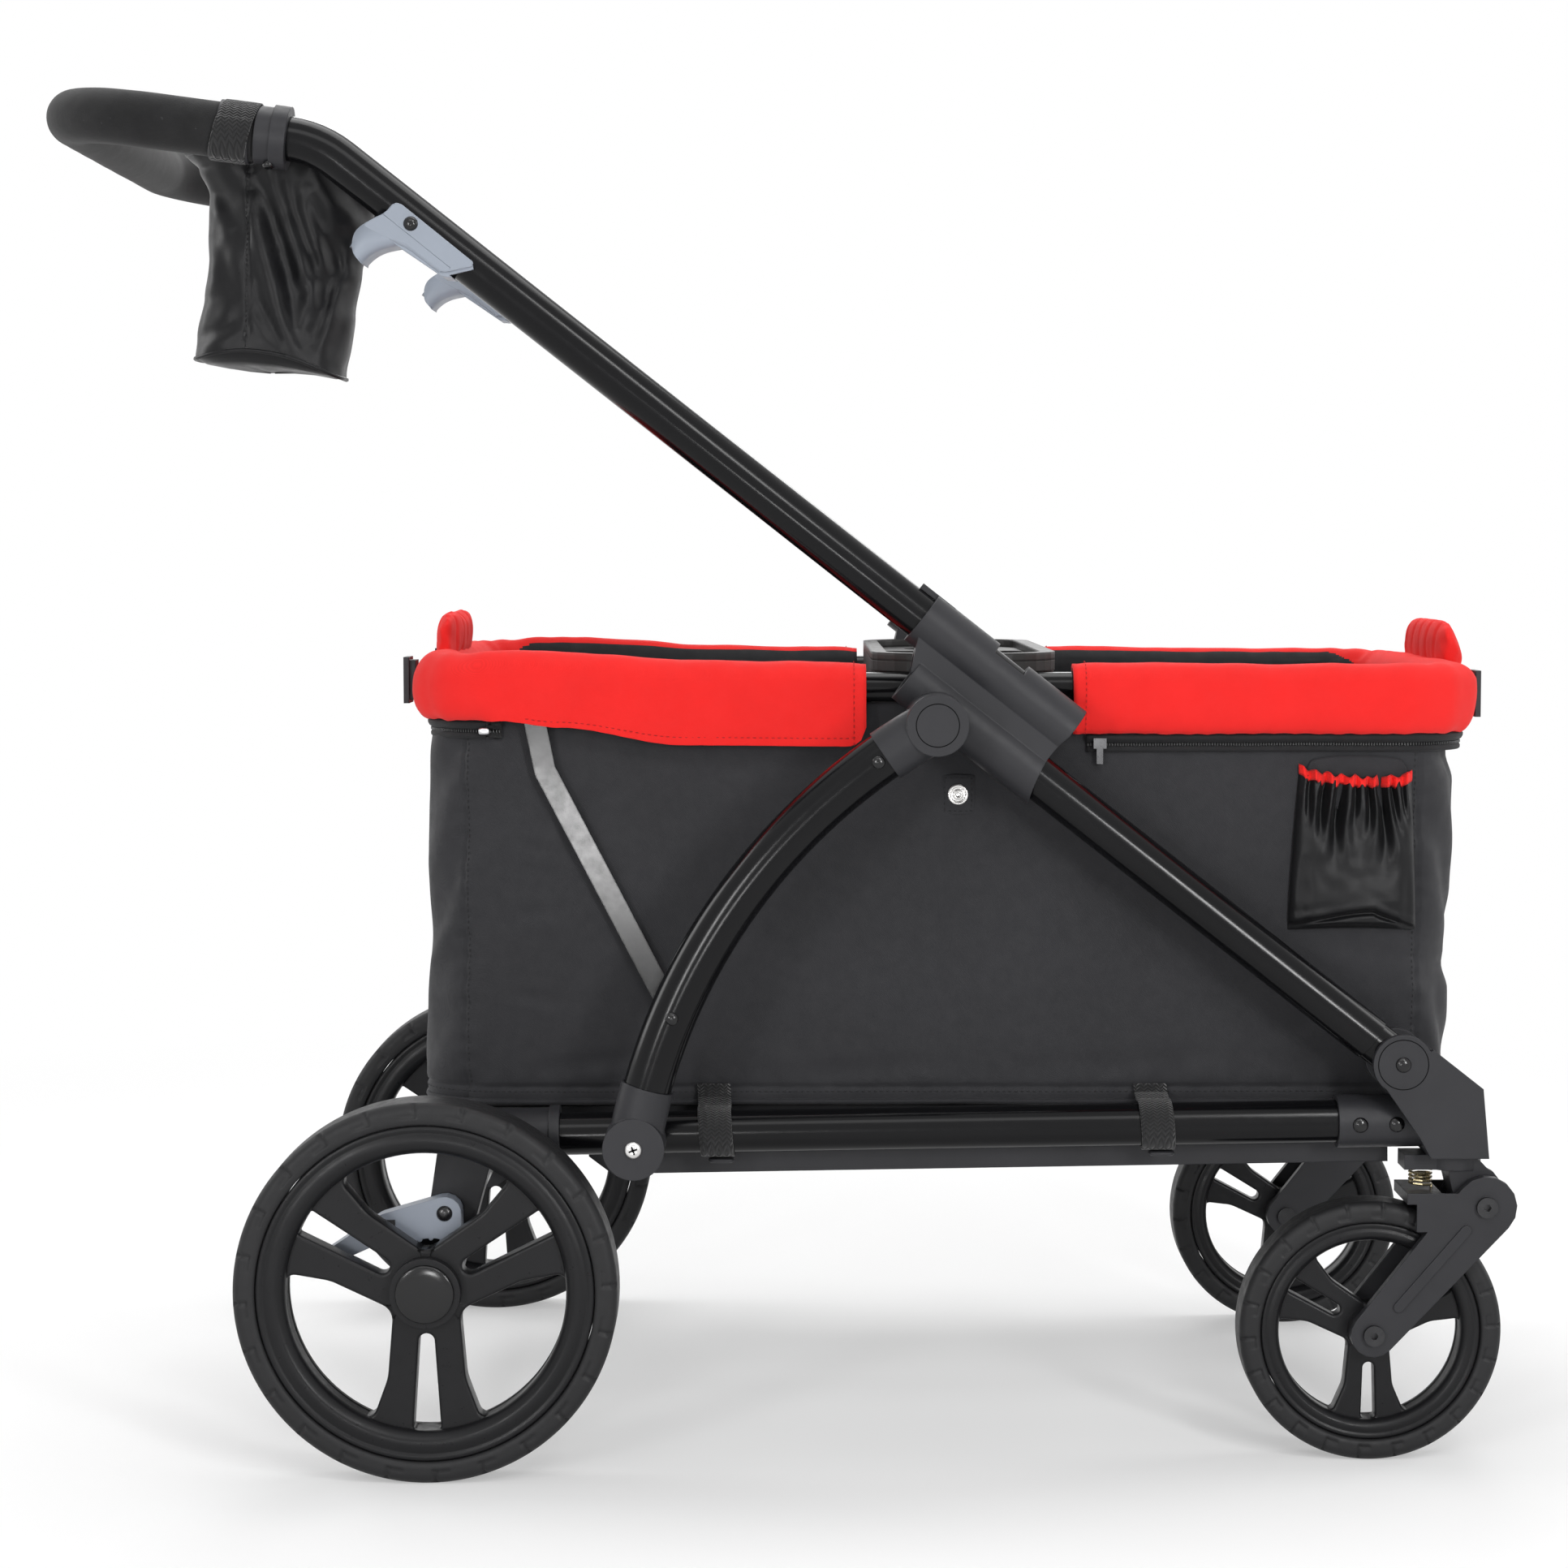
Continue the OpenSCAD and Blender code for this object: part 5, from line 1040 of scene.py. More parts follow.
def pocket_point(u, v):
    """u runs along X, v up from the bottom."""
    x = lerp(665.5, 766.0, u) + lerp(0, lerp(8.0, -4.0, u), v ** 1.5)
    top = lerp(533.0, 528.0, u) - 4.0 * math.sin(math.pi * u)
    z = lerp(410.5 + 1.5 * math.sin(math.pi * u), top, v)
    edge = (1 - abs(2 * u - 1) ** 6) ** 0.5
    deep = 15.5 * edge * soft_table(POCKET_BELLY, v)
    folds = 0.0
    for centre, wide, deepness, reach in POCKET_FOLDS:
        strength = ease((v - (1 - reach)) / (reach * 0.7))
        bow = 0.02 * math.sin(7 * v + 9 * centre)
        s = (u - centre + (0.5 - centre) * 0.16 * (1 - v) + bow) / (wide * (1 + 1.5 * (1 - v)))
        folds += deepness * strength * (0.4 * math.exp(-((s - 1.8) ** 2)) + 0.3 * math.exp(-((s + 1.8) ** 2))
                                        - math.exp(-s * s))
    folds += 1.6 * rough_at(u * 100, 0, v * 130, 32, 12.0) + 0.5 * rough_at(u * 100, 0, v * 130, 12, 13.0)
    tuck = 0.035 + 0.075 * ease(u / 0.66) if u < 0.66 else lerp(0.11, 0.012, ((u - 0.66) / 0.34) ** 0.8)
    folds -= 4.2 * bell(v - tuck, 0.017) - 1.6 * bell(v - tuck - 0.045, 0.03)
    pull = bell(u - 0.1, 0.05) + bell(u - 0.93, 0.05)
    folds -= 2.4 * pull * bell(v - 0.22, 0.2)
    return x, -min(POCKET_FACE + max(deep + folds * edge, 0.3), POCKET_MOST), z


rings = [[pocket_point(i / 150, j / 130) for i in range(151)] for j in range(131)]
pocket = skin("pocket_front", rings, NYLON, "chassis", False)
add_modifier(pocket, "SOLIDIFY", thickness=0.0012, offset=-1.0)
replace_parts(pocket, "side_pocket")
band_rings = []
for i in range(161):
    u = i / 160
    x, y, z = pocket_point(u, 1.0)
    wave = math.sin(u * 2 * math.pi * 9.0 + 2.4 * rough_at(u * 100, 0, 0, 16, 5.0))
    inside = ease(min(u, 1 - u) / 0.05)
    y -= 1.2 + (1.9 * wave + 0.8 * rough_at(u * 100, 0, 3, 6, 4.0)) * inside
    ears = 3.6 * (bell(u, 0.05) + bell(1 - u, 0.05))
    drop = 1.5 * rough_at(u * 100, 4, 0, 8, 8.0) + 1.0 * wave * inside + ears
    tall = 8.8 + 1.6 * rough_at(u * 100, 0, 7, 10, 2.0)
    curl = 1.3 * rough_at(u * 100, 11, 0, 9, 3.0) * inside
    y = max(y, -ELASTIC_MOST)
    section = ((-curl, -0.5), (-0.9 - curl / 2, -0.25), (-0.9 + curl / 2, 0.25), (curl, 0.5),
               (1.4 + curl / 2, 0.25), (1.4 - curl / 2, -0.25))
    band_rings.append([(x, y + dy, z + tall * dz + drop) for dy, dz in section])
elastic = skin("pocket_elastic", band_rings, RED_BAND, "chassis", caps=True)
back_rings = []
for j in range(16):
    t = j / 15
    z = lerp(505, 546.5, t)
    ring = []
    for i in range(41):
        u = i / 40
        half = 39.5 * (1 - max(0.0, (t - 0.72) / 0.28) ** 2 * 0.13)
        x = 718.5 + half * (2 * u - 1)
        n = 3.4 + 2.6 * math.sin(math.pi * u) ** 0.5 * (1 - 0.4 * t) + 0.7 * rough_at(x, 0, z, 18, 4.0)
        ring.append((x, -(RIM_Y + n), z - 3.0 * abs(2 * u - 1) ** 3 * t))
    back_rings.append(ring)
pocket_back = skin("pocket_back", back_rings, FABRIC, "chassis", False)
add_modifier(pocket_back, "SOLIDIFY", thickness=0.0015, offset=0.0)
for ob in (pocket, elastic, pocket_back):
    folds_with_tub(ob)

# Cup pouch: a sewn bag that hangs inside the right grip

# Edges seen from the side: X by height share, and height by X along the mouth
LEFT_LINE = [(0, -188.0), (0.1, -186.0), (0.3, -180.5), (0.5, -176.5), (0.8, -175.6), (0.93, -184.0), (1.0, -193.0)]
RIGHT_LINE = [(0, -72.0), (0.32, -64.0), (0.57, -58.0), (0.68, -55.5), (0.85, -50.5), (1.0, -47.0)]
TOP_LINE = [(-195, 1015.0), (-160, 1014.0), (-128, 1013.0), (-106, 1011.0), (-88, 1007.0), (-72, 999.0),
            (-58, 988.0), (-46, 976.0)]
# Creases of the bag: start, end, width, depth
CREASES = [((-134, 1002), (-93, 878), 8.0, 8.0), ((-112, 996), (-80, 900), 6.5, 7.0),
           ((-94, 985), (-66, 908), 6.0, 6.0), ((-66, 962), (-92, 862), 7.0, 6.5),
           ((-118, 935), (-97, 850), 6.0, 5.0), ((-176, 975), (-152, 905), 7.0, 3.6),
           ((-184, 872), (-150, 884), 6.0, 2.6), ((-60, 922), (-80, 850), 5.0, 5.0),
           ((-136, 905), (-112, 858), 5.0, 3.2), ((-172, 1004), (-150, 955), 6.0, 3.6),
           ((-166, 930), (-172, 880), 8.0, 2.4), ((-86, 940), (-98, 900), 5.0, 3.5)]
POUCH_Y, POUCH_MOST, POUCH_REAR_Z, POUCH_FRONT_Z = -173.5, 224.8, 857.5, 842.0


def seam_x(z):
    """The pouch's side seam, which leans a little."""
    return 0.02 * (z - 920) - 140.5


def pouch_point(v, phi):
    """v runs up from the bottom, phi round the bag."""
    xl, xr = soft_table(LEFT_LINE, v), soft_table(RIGHT_LINE, v)
    xc, half = (xl + xr) / 2, (xr - xl) / 2
    c, s = math.cos(phi), math.sin(phi)
    square = lerp(0.7, 0.9, v)
    x = xc + half * squarish(c, square)
    deep = lerp(44.0, 47.0, v) * (1 - 0.06 * math.sin(math.pi * v))
    y = POUCH_Y + deep * squarish(s, square)
    share = (x - xl) / (xr - xl)
    low = lerp(POUCH_REAR_Z, POUCH_FRONT_Z, share) + 11.5 * (1 - (2 * share - 1) ** 2) * abs(s)
    high = table(TOP_LINE, x) + 1.5 * rough_at(x, y, 0, 22, 3.0)
    z = lerp(low, high, v)
    fold = sum(crease(x, z, line) for line in CREASES) * abs(s) ** 0.7 * (1.0 if s < 0 else 0.7)
    fold += 2.0 * rough_at(x, y, z, 34, 14.0) + 1.0 * rough_at(x, y, z, 14, 15.0)
    gather = math.sin(x / 7.5 + 3 * rough_at(x, 0, z, 45, 9.0)) * ease((v - 0.62) / 0.3)
    fold += 2.2 * gather * (1 if x > -138 else 0.3)
    fold += seam_dip(x - seam_x(z), 1.6, 1.4) * (1 if s < 0 else 0)
    fold *= ease(v / 0.1)
    y += fold * (1 if s > 0 else -1)
    x += 1.6 * rough_at(x, y, z, 26, 18.0) * abs(c) * ease(v / 0.1)
    return x, max(y, -POUCH_MOST), z


rows, around = 110, 200
rings = [[pouch_point(j / rows, a) for a in turns(around)] for j in range(rows + 1)]
bottom = []
for share in (0.86, 0.6, 0.3, 0.03):
    ring = []
    for x, y, z in rings[0]:
        flat = lerp(857.0, POUCH_FRONT_Z, (x + 186) / 117)
        sag = 2.5 * (1 - share) + 1.2 * rough_at(x, y, 0, 26, 8.0)
        ring.append((lerp(-129.0, x, share), lerp(-173.0, y, share),
                     lerp(849.0 - sag, lerp(flat - 3.0, z - 2.0, 0.5), share ** 2)))
    bottom.append(ring)
v, f = strips(list(reversed(bottom)) + rings, True, False)
f.append(tuple(range(around)))
pouch = piece("pouch_bag", v, f, [NYLON], "pouch")
add_modifier(pouch, "SOLIDIFY", thickness=0.0012, offset=-1.0)
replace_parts(pouch, "cup_pouch")
lip = tube("pouch_piping", [(x, y, z - 0.6) for x, y, z in rings[0]], 1.7, NYLON, "pouch", 6, True)
top_hem = tube("pouch_hem", rings[-1], 1.3, NYLON, "pouch", 6, True, 1.6)
line = []
for j in range(2, rows - 2):
    near = (pouch_point(j / rows, a) for a in turns(400)[210:390])
    x, y, z = min(near, key=lambda q: abs(q[0] + 1.7 - seam_x(q[2])))
    line.append((x, y - 0.15, z))
stitches("pouch_stitches", line, [(0, -1, 0)] * len(line), THREAD, "pouch", 2.4, 1.7, 0.32)
# Webbing tab from the bag up to the pin
rings = []
for j in range(17):
    t = j / 16
    y, z = -lerp(222.6, 224.4, ease(t)), lerp(1003, 1034.5, t)
    half = 10.0 if t < 0.85 else 10.0 * math.sqrt(max(1 - ((t - 0.85) / 0.16) ** 2, 0.02))
    rings.append([(-143 + half * (2 * i / 8 - 1), y + 0.25 * rough_at(i * 3, 0, z, 12, 2.0), z) for i in range(9)])
tab = skin("pouch_tab", rings, WEBBING, "pouch", False)
add_modifier(tab, "SOLIDIFY", thickness=0.0016, offset=0.0)

# Foam sleeve round the push bar, closed at its two ends

GRIP_TILT = math.radians(7.5)
GRIP_UP, GRIP_BACK = (math.sin(GRIP_TILT), math.cos(GRIP_TILT)), (-math.cos(GRIP_TILT), math.sin(GRIP_TILT))
BEND = (-81.086, 1016.55)
BRACE_Y, GRIP_RUN, GRIP_TURN, SLEEVE_START = 249.0, 201.0, 75.0, 46.6


def round_grip(run, radius, a, sgn=-1):
    """A point round the straight of a grip: run behind the bend, turn about its axis."""
    h, w = radius * math.sin(a), radius * math.cos(a)
    return (BEND[0] + GRIP_BACK[0] * run + GRIP_UP[0] * h, sgn * (BRACE_Y + w),
            BEND[1] + GRIP_BACK[1] * run + GRIP_UP[1] * h)


grip_path = [(run, -BRACE_Y) for run in (SLEEVE_START, 47.1, 47.9, 49.2, 51.0, 56.0, 66.0, 80.0, 95.0, 110.0)]
turn_run, turn_y = GRIP_RUN - GRIP_TURN, GRIP_TURN - BRACE_Y
grip_path += [(turn_run + GRIP_TURN * math.sin(q), turn_y - GRIP_TURN * math.cos(q))
              for q in (math.pi / 2 * k / 20 for k in range(21))]
grip_path += [(GRIP_RUN, turn_y + 16 * k) for k in range(1, 11)]
grip_path += [(GRIP_RUN, 0.0)] + [(run, -y) for run, y in reversed(grip_path)]
grip_line = [(BEND[0] + GRIP_BACK[0] * run, y, BEND[1] + GRIP_BACK[1] * run) for run, y in grip_path]
rings = []
for (run, y), point, (along, u, w) in zip(grip_path, grip_line, frames_along(grip_line)):
    near = min(max(run - SLEEVE_START, 0.0) / 4.4, 1.0)
    ring = []
    for a in turns(48):
        r = 17.2 + 3.9 * math.sqrt(1 - (1 - near) ** 2) + 0.3 * rough_at(run, y, 20 * math.cos(a), 30, 61.0)
        ring.append(tuple(Vector(point) + r * (math.cos(a) * u + math.sin(a) * w)))
    rings.append(ring)
ob = skin("grip_sleeve", rings, FOAM, "handle", caps=True)
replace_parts(ob, "handle_grip")

# Webbing strap round the right grip, over its ring
rings = []
STRAP_SECTION = ((0, -0.5), (0.03, 0.35), (0.25, 0.5), (0.5, 0.45), (0.75, 0.5), (0.97, 0.35), (1, -0.5), (0.5, -1.0))
for a in turns(96):
    lap = 0.9 if -0.9 < math.sin(a) < 0.35 and math.cos(a) > 0 else 0.0
    r = 23.3 + 0.3 * rough_at(30 * math.cos(a), 30 * math.sin(a), 0, 20, 3.0) + lap
    rings.append([round_grip(48.5 + 28.0 * t - 4.0 * math.sin(a), r + lift, a) for t, lift in STRAP_SECTION])
skin("grip_strap", rings, WEBBING, "handle", True, True)

# Tie straps from the tub round the rails, with a flat buckle below

RAIL_Y, RAIL_Z, STRAP_R = 236, 252.5, 19.2
TIE_SECTION = ((-13.0, -0.2), (-12.7, 0.6), (-6, 0.8), (0, 0.75), (6, 0.8), (12.7, 0.6), (13.0, -0.2), (0, -0.5))
for k, x0 in enumerate((219.0, 561.0), 1):
    for tag, sgn in SIDES:
        cz = RAIL_Z + x0 * RAIL_RISE
        path = [(209.5, 289.0, 0), (211.5, 283.0, 0), (218.0, cz + 20.0, 0)]
        path += [(RAIL_Y + STRAP_R * math.cos(a), cz + STRAP_R * math.sin(a), 0)
                 for a in (math.radians(118 - 313 * i / 22) for i in range(23))]
        fine = smooth_line(path, 3)
        rings = []
        for i, p in enumerate(fine):
            t = (fine[min(i + 1, len(fine) - 1)] - fine[max(i - 1, 0)]).normalized()
            out = Vector((-t.y, t.x, 0))
            if out.dot(Vector((p.x - RAIL_Y, p.y - cz, 0))) < 0:
                out = -out
            lean = 1.5 * (p.y - cz) / 20
            rings.append([(x0 + w - lean, sgn * (p.x + out.x * lift), p.y + out.y * lift) for w, lift in TIE_SECTION])
        ob = skin("tie_strap_%d_%s" % (k, tag), rings, WEBBING, "chassis", caps=True)
        if k == 1 and sgn == 1:
            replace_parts(ob, "floor_straps")
        rings = []
        for grow, z in ((-1.5, -1.6), (0, -0.6), (0, 0.8), (-1.5, 1.6)):
            rings.append([(x0 + 4 + (10 + grow) * squarish(math.cos(a), 0.5),
                           sgn * (240 + (7 + grow) * squarish(math.sin(a), 0.5)), cz - 21.8 + z) for a in turns(28)])
        skin("tie_buckle_%d_%s" % (k, tag), rings, CHARCOAL, "chassis", caps=True)

# Tyres with hooked notches in their shoulders

# Wheel centres at the left side
REAR_HUB, FRONT_HUB = (0.0, 300.0, 146.0), (727.0, 236.0, 101.5)
NOTCH_STEPS = 24


def tyre(name, body, centre, d, w, seat, notches):
    """A tyre round Y: outside diameter, width, radius of its seat, hooked notches on each shoulder."""
    cx, cy, cz = centre
    r_turn = (d / 2 - seat) * 0.42
    outline = [(seat + 0.4, -w / 2 + 3.4), (seat + 0.6, -w / 2 + 1.6), (seat + 2.2, -w / 2 + 0.4)]
    outline += [(seat + 4.5, -w / 2), (d / 2 - r_turn - 1, -w / 2)]
    outline += [(d / 2 - r_turn + r_turn * math.sin(q), -w / 2 + r_turn - r_turn * math.cos(q))
                for q in map(math.radians, (12, 26, 40, 54, 68, 80, 90))]
    rows = []
    for (r0, h0), (r1, h1) in zip(outline, outline[1:]):
        n = max(1, int(math.hypot(r1 - r0, h1 - h0) / 1.3))
        rows += [(lerp(r0, r1, i / n), lerp(h0, h1, i / n)) for i in range(n)]
    rows.append(outline[-1])
    rows += [(d / 2, lerp(-w / 2 + r_turn, 0, i / 7)) for i in range(1, 8)]
    profile = rows + [(r, -h) for r, h in reversed(rows[:-1])] + [(seat + 0.4, 0.0)]
    rings = []
    for s, turn in enumerate(turns(notches * NOTCH_STEPS)):
        phase = (s % NOTCH_STEPS) / NOTCH_STEPS
        ring = []
        for r, h in profile:
            shoulder = (r - (d / 2 - r_turn - 4.5)) / (r_turn + 4.5)
            deep = 0.0
            if 0.05 < shoulder and abs(h) > w / 2 - r_turn - 3:
                side_phase = phase if h < 0 else (phase + 0.5) % 1.0
                leg = abs(side_phase - 0.18) < 0.05 and shoulder < 0.9
                foot = 0.13 <= side_phase <= 0.5 and 0.05 < shoulder < 0.2
                deep = 1.9 if leg else (1.2 if foot else 0.0)
            rr, hh = r - deep * 0.8, h - math.copysign(deep * 0.6, h) if abs(h) > 1e-6 else h
            ring.append((cx + rr * math.cos(turn), cy + hh, cz + rr * math.sin(turn)))
        rings.append(ring)
    return skin(name, rings, RUBBER, body, True, True)


TYRES = (("rear", REAR_HUB, (292.0, 45.0, 128.6, 24)), ("front", FRONT_HUB, (203.0, 38.0, 85.0, 22)))
for tag, sgn in SIDES:
    for end, (x, y, z), sizes in TYRES:
        ob = tyre("%s_tyre_tread_%s" % (end, tag), "%s_wheel_%s" % (end, tag), (x, sgn * y, z), *sizes)
        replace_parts(ob, "%s_tyre_%s" % (end, tag))

# Spoke plates: bevelled faces over the rims, with their windows and slots


def rounded(corners, steps=7):
    """A closed outline from (x, y, radius) corners."""
    out, n = [], len(corners)
    for i, (x, y, radius) in enumerate(corners):
        p = Vector((x, y))
        a, b = Vector(corners[i - 1][:2]) - p, Vector(corners[(i + 1) % n][:2]) - p
        wide = a.angle(b)
        if radius <= 0 or wide > math.radians(178):
            out.append((x, y))
            continue
        cut = min(radius / math.tan(wide / 2), 0.48 * a.length, 0.48 * b.length)
        radius = cut * math.tan(wide / 2)
        a.normalize()
        b.normalize()
        centre = p + (a + b).normalized() * (radius / math.sin(wide / 2))
        v0, v1 = p + a * cut - centre, p + b * cut - centre
        turn = math.atan2(v0.x * v1.y - v0.y * v1.x, v0.dot(v1))
        for k in range(steps + 1):
            q = turn * k / steps
            out.append((centre.x + v0.x * math.cos(q) - v0.y * math.sin(q),
                        centre.y + v0.x * math.sin(q) + v0.y * math.cos(q)))
    return out


# Outlines are filled at a slight turn, so that no edge stands upright
FILL_TURN = 0.197
TURN_C, TURN_S = math.cos(FILL_TURN), math.sin(FILL_TURN)


def plate(outlines, thick, bevel):
    """A flat plate with rounded edges, from an outline and its holes."""
    curve = bpy.data.curves.new("plate", "CURVE")
    curve.dimensions, curve.fill_mode = "2D", "BOTH"
    curve.extrude, curve.bevel_depth, curve.offset = (thick / 2 - bevel) * MM, bevel * MM, -bevel * MM
    curve.bevel_resolution = 3
    for outline in outlines:
        spline = curve.splines.new("POLY")
        spline.points.add(len(outline) - 1)
        spline.use_cyclic_u = True
        for point, (x, y) in zip(spline.points, outline):
            point.co = ((x * TURN_C - y * TURN_S) * MM, (x * TURN_S + y * TURN_C) * MM, 0, 1)
    holder = bpy.data.objects.new("plate", curve)
    scene.collection.objects.link(holder)
    mesh = bpy.data.meshes.new_from_object(holder.evaluated_get(bpy.context.evaluated_depsgraph_get()))
    bm = bmesh.new()
    bm.from_mesh(mesh)
    bmesh.ops.remove_doubles(bm, verts=bm.verts, dist=1e-6)
    bmesh.ops.recalc_face_normals(bm, faces=bm.faces)
    bm.to_mesh(mesh)
    bm.free()
    verts = [((x * TURN_C + y * TURN_S) / MM, (y * TURN_C - x * TURN_S) / MM, z / MM)
             for x, y, z in (vert.co for vert in mesh.vertices)]
    faces = [tuple(poly.vertices) for poly in mesh.polygons]
    flat = [abs(poly.normal.z) > 0.999 for poly in mesh.polygons]
    bpy.data.objects.remove(holder)
    bpy.data.curves.remove(curve)
    bpy.data.meshes.remove(mesh)
    return verts, faces, flat


def spoke_plate(name, body, centre, band_r, hub_r, thick, foot, tip, slot_foot, slot_half, slot_tip, hub_turn,
                band_turn):
    """Three forked spokes, each from the hub's centre out into the band, with a slot between its prongs."""
    cx, cy, cz = centre
    middle, waist = (hub_r + band_r) / 2, (2 * foot + tip) / 3 + 0.5
    edge = math.asin(tip / band_r)

    def polar(r, q):
        return r * math.cos(q), r * math.sin(q)

    far_edge = 2 * math.pi / 3 - edge
    corners = [(*polar(foot / math.sin(math.pi / 3) + 2.5, math.pi / 3), hub_turn), (middle, waist, 3 * hub_turn)]
    corners += [(*polar(band_r + 1.0, lerp(edge, far_edge, k / 8)), band_turn if k == 0 else 0.0) for k in range(9)]
    corners.append((-middle / 2 + waist * math.sqrt(0.75), middle * math.sqrt(0.75) + waist / 2, 3 * hub_turn))
    side = rounded(corners)[:24]
    last = math.atan2(side[-1][1], side[-1][0])
    outline = [(0.0, 0.0)] + [(x, -y) for x, y in side]
    outline += [polar(band_r + 3.0, lerp(-last, last, k / 12)) for k in range(13)] + list(reversed(side))
    inner, far = slot_foot + slot_half, band_r - 0.5
    slot = [(inner + (slot_half - 0.4) * math.cos(q), (slot_half - 0.4) * math.sin(q), 0.0)
            for q in (math.radians(90 + 180 * k / 12) for k in range(13))]
    slot += [(far, 0.4 - slot_tip, 2.5), (far, slot_tip - 0.4, 2.5)]
    verts, faces, smooth = [], [], []
    for k, spoke in enumerate((30.0, 150.0, 270.0)):
        v, f, flat = plate([outline, rounded(slot)], thick + 0.08 * k, 2.4)
        q, base = math.radians(spoke), len(verts)
        c, s = math.cos(q), math.sin(q)
        verts += [(cx + x * c - y * s, cy - z, cz + x * s + y * c) for x, y, z in v]
        faces += [tuple(i + base for i in face) for face in f]
        smooth += [not level for level in flat]
    ob = piece(name, verts, faces, [WHEEL], body)
    ob.data.polygons.foreach_set("use_smooth", smooth)


REAR_BAND = [(128.3, 18.6), (128.3, 19.6), (127.4, 20.3), (124.2, 20.3), (123.4, 19.5), (122.4, 19.5), (121.6, 20.2),
             (114.2, 20.2), (112.2, 19.5), (108.2, 15.6), (106.7, 13.4), (106.5, 8.0)]
FRONT_BAND = [(84.7, 14.6), (84.7, 15.5), (84.0, 16.1), (81.6, 16.1), (80.9, 15.4), (80.1, 15.4), (79.4, 16.0),
              (75.4, 16.0), (74.0, 15.4), (71.6, 12.8), (70.7, 11.2), (70.5, 7.0)]
CAP_DOME = [(22.3, 18.5), (22.3, 21.9), (21.8, 22.7), (20.6, 23.1), (14.0, 23.5), (7.0, 23.7), (0.01, 23.75)]
# Band and hub radius, thickness, half widths at foot and tip, the slot's foot and half widths, turns at hub and band
REAR_SPOKES = (107.0, 27.0, 20.0, 23.2, 41.3, 32.3, 6.5, 11.0, 13.0, 8.0)
FRONT_SPOKES = (71.0, 17.0, 17.0, 13.5, 28.0, 26.0, 4.8, 6.0, 8.0, 5.0)
WHEELS = (("rear", REAR_HUB, REAR_SPOKES, REAR_BAND, 120), ("front", FRONT_HUB, FRONT_SPOKES, FRONT_BAND, 100))
for tag, sgn in SIDES:
    for end, (x, y, z), sizes, band, steps in WHEELS:
        spoke_plate("%s_spokes_%s" % (end, tag), "%s_wheel_%s" % (end, tag), (x, sgn * y, z), *sizes)
    for face, side in (("out", sgn), ("in", -sgn)):
        for end, (x, y, z), sizes, band, steps in WHEELS:
            lathe("%s_band_%s_%s" % (end, face, tag), band, (x, sgn * y, z), (0, side, 0), WHEEL,
                  "%s_wheel_%s" % (end, tag), steps)
    x, y, z = REAR_HUB
    lathe("rear_cap_dome_" + tag, CAP_DOME, (x, sgn * y, z), (0, sgn, 0), GLOSS, "rear_wheel_" + tag,
          64)

# Lever covers: a flat cheek on each side and a rounded finger hook below the tube

# Lower edge of the hook and the upper edge over it, from the tip
HOOK_LOW = [(-46.4, 923.4), (-44.9, 925.4), (-41.0, 929.0), (-36.6, 932.0), (-31.5, 934.2), (-27.1, 935.4),
            (-22.0, 936.4), (-17.4, 936.6), (-10.0, 931.6), (0.0, 924.7), (7.6, 919.5), (12.6, 916.9)]
HOOK_HIGH = [(-47.6, 925.0), (-52.4, 931.6), (-53.0, 940.5), (-50.2, 948.0), (-44.2, 953.2), (-38.5, 955.4),
             (-31.8, 950.2), (-22.3, 942.4), (-13.6, 940.4), (-2.6, 931.8), (5.9, 925.1), (14.7, 918.2)]
CHEEK = [(-44.5, 951.5, 1.0), (-43.4, 953.9, 2.0), (-36.4, 957.8, 6.0), (-30.0, 960.7, 6.0), (-26.1, 963.8, 6.0),
         (-22.9, 967.6, 3.0), (-19.4, 969.2, 4.0), (-15.1, 967.6, 4.0), (37.4, 925.2, 2.0), (38.2, 923.7, 1.0),
         (37.0, 921.0, 1.2), (18.2, 917.1, 1.0), (14.5, 917.2, 0.5), (-2.0, 929.5, 0.0), (-14.0, 938.5, 0.0),
         (-24.0, 941.0, 2.0), (-34.0, 946.0, 3.0)]
PIN_DOME = [(5.2, -0.6), (5.2, 0.3), (4.9, 1.3), (4.1, 2.2), (2.6, 2.9), (1.2, 3.2), (0.01, 3.25)]
LEVER_HALF, COVER = 20.3, 2.1
low_edge = smooth_line([(x, 0.0, z) for x, z in HOOK_LOW], 5)
high_edge = smooth_line([(x, 0.0, z) for x, z in HOOK_HIGH], 5)
wide = LEVER_HALF + COVER
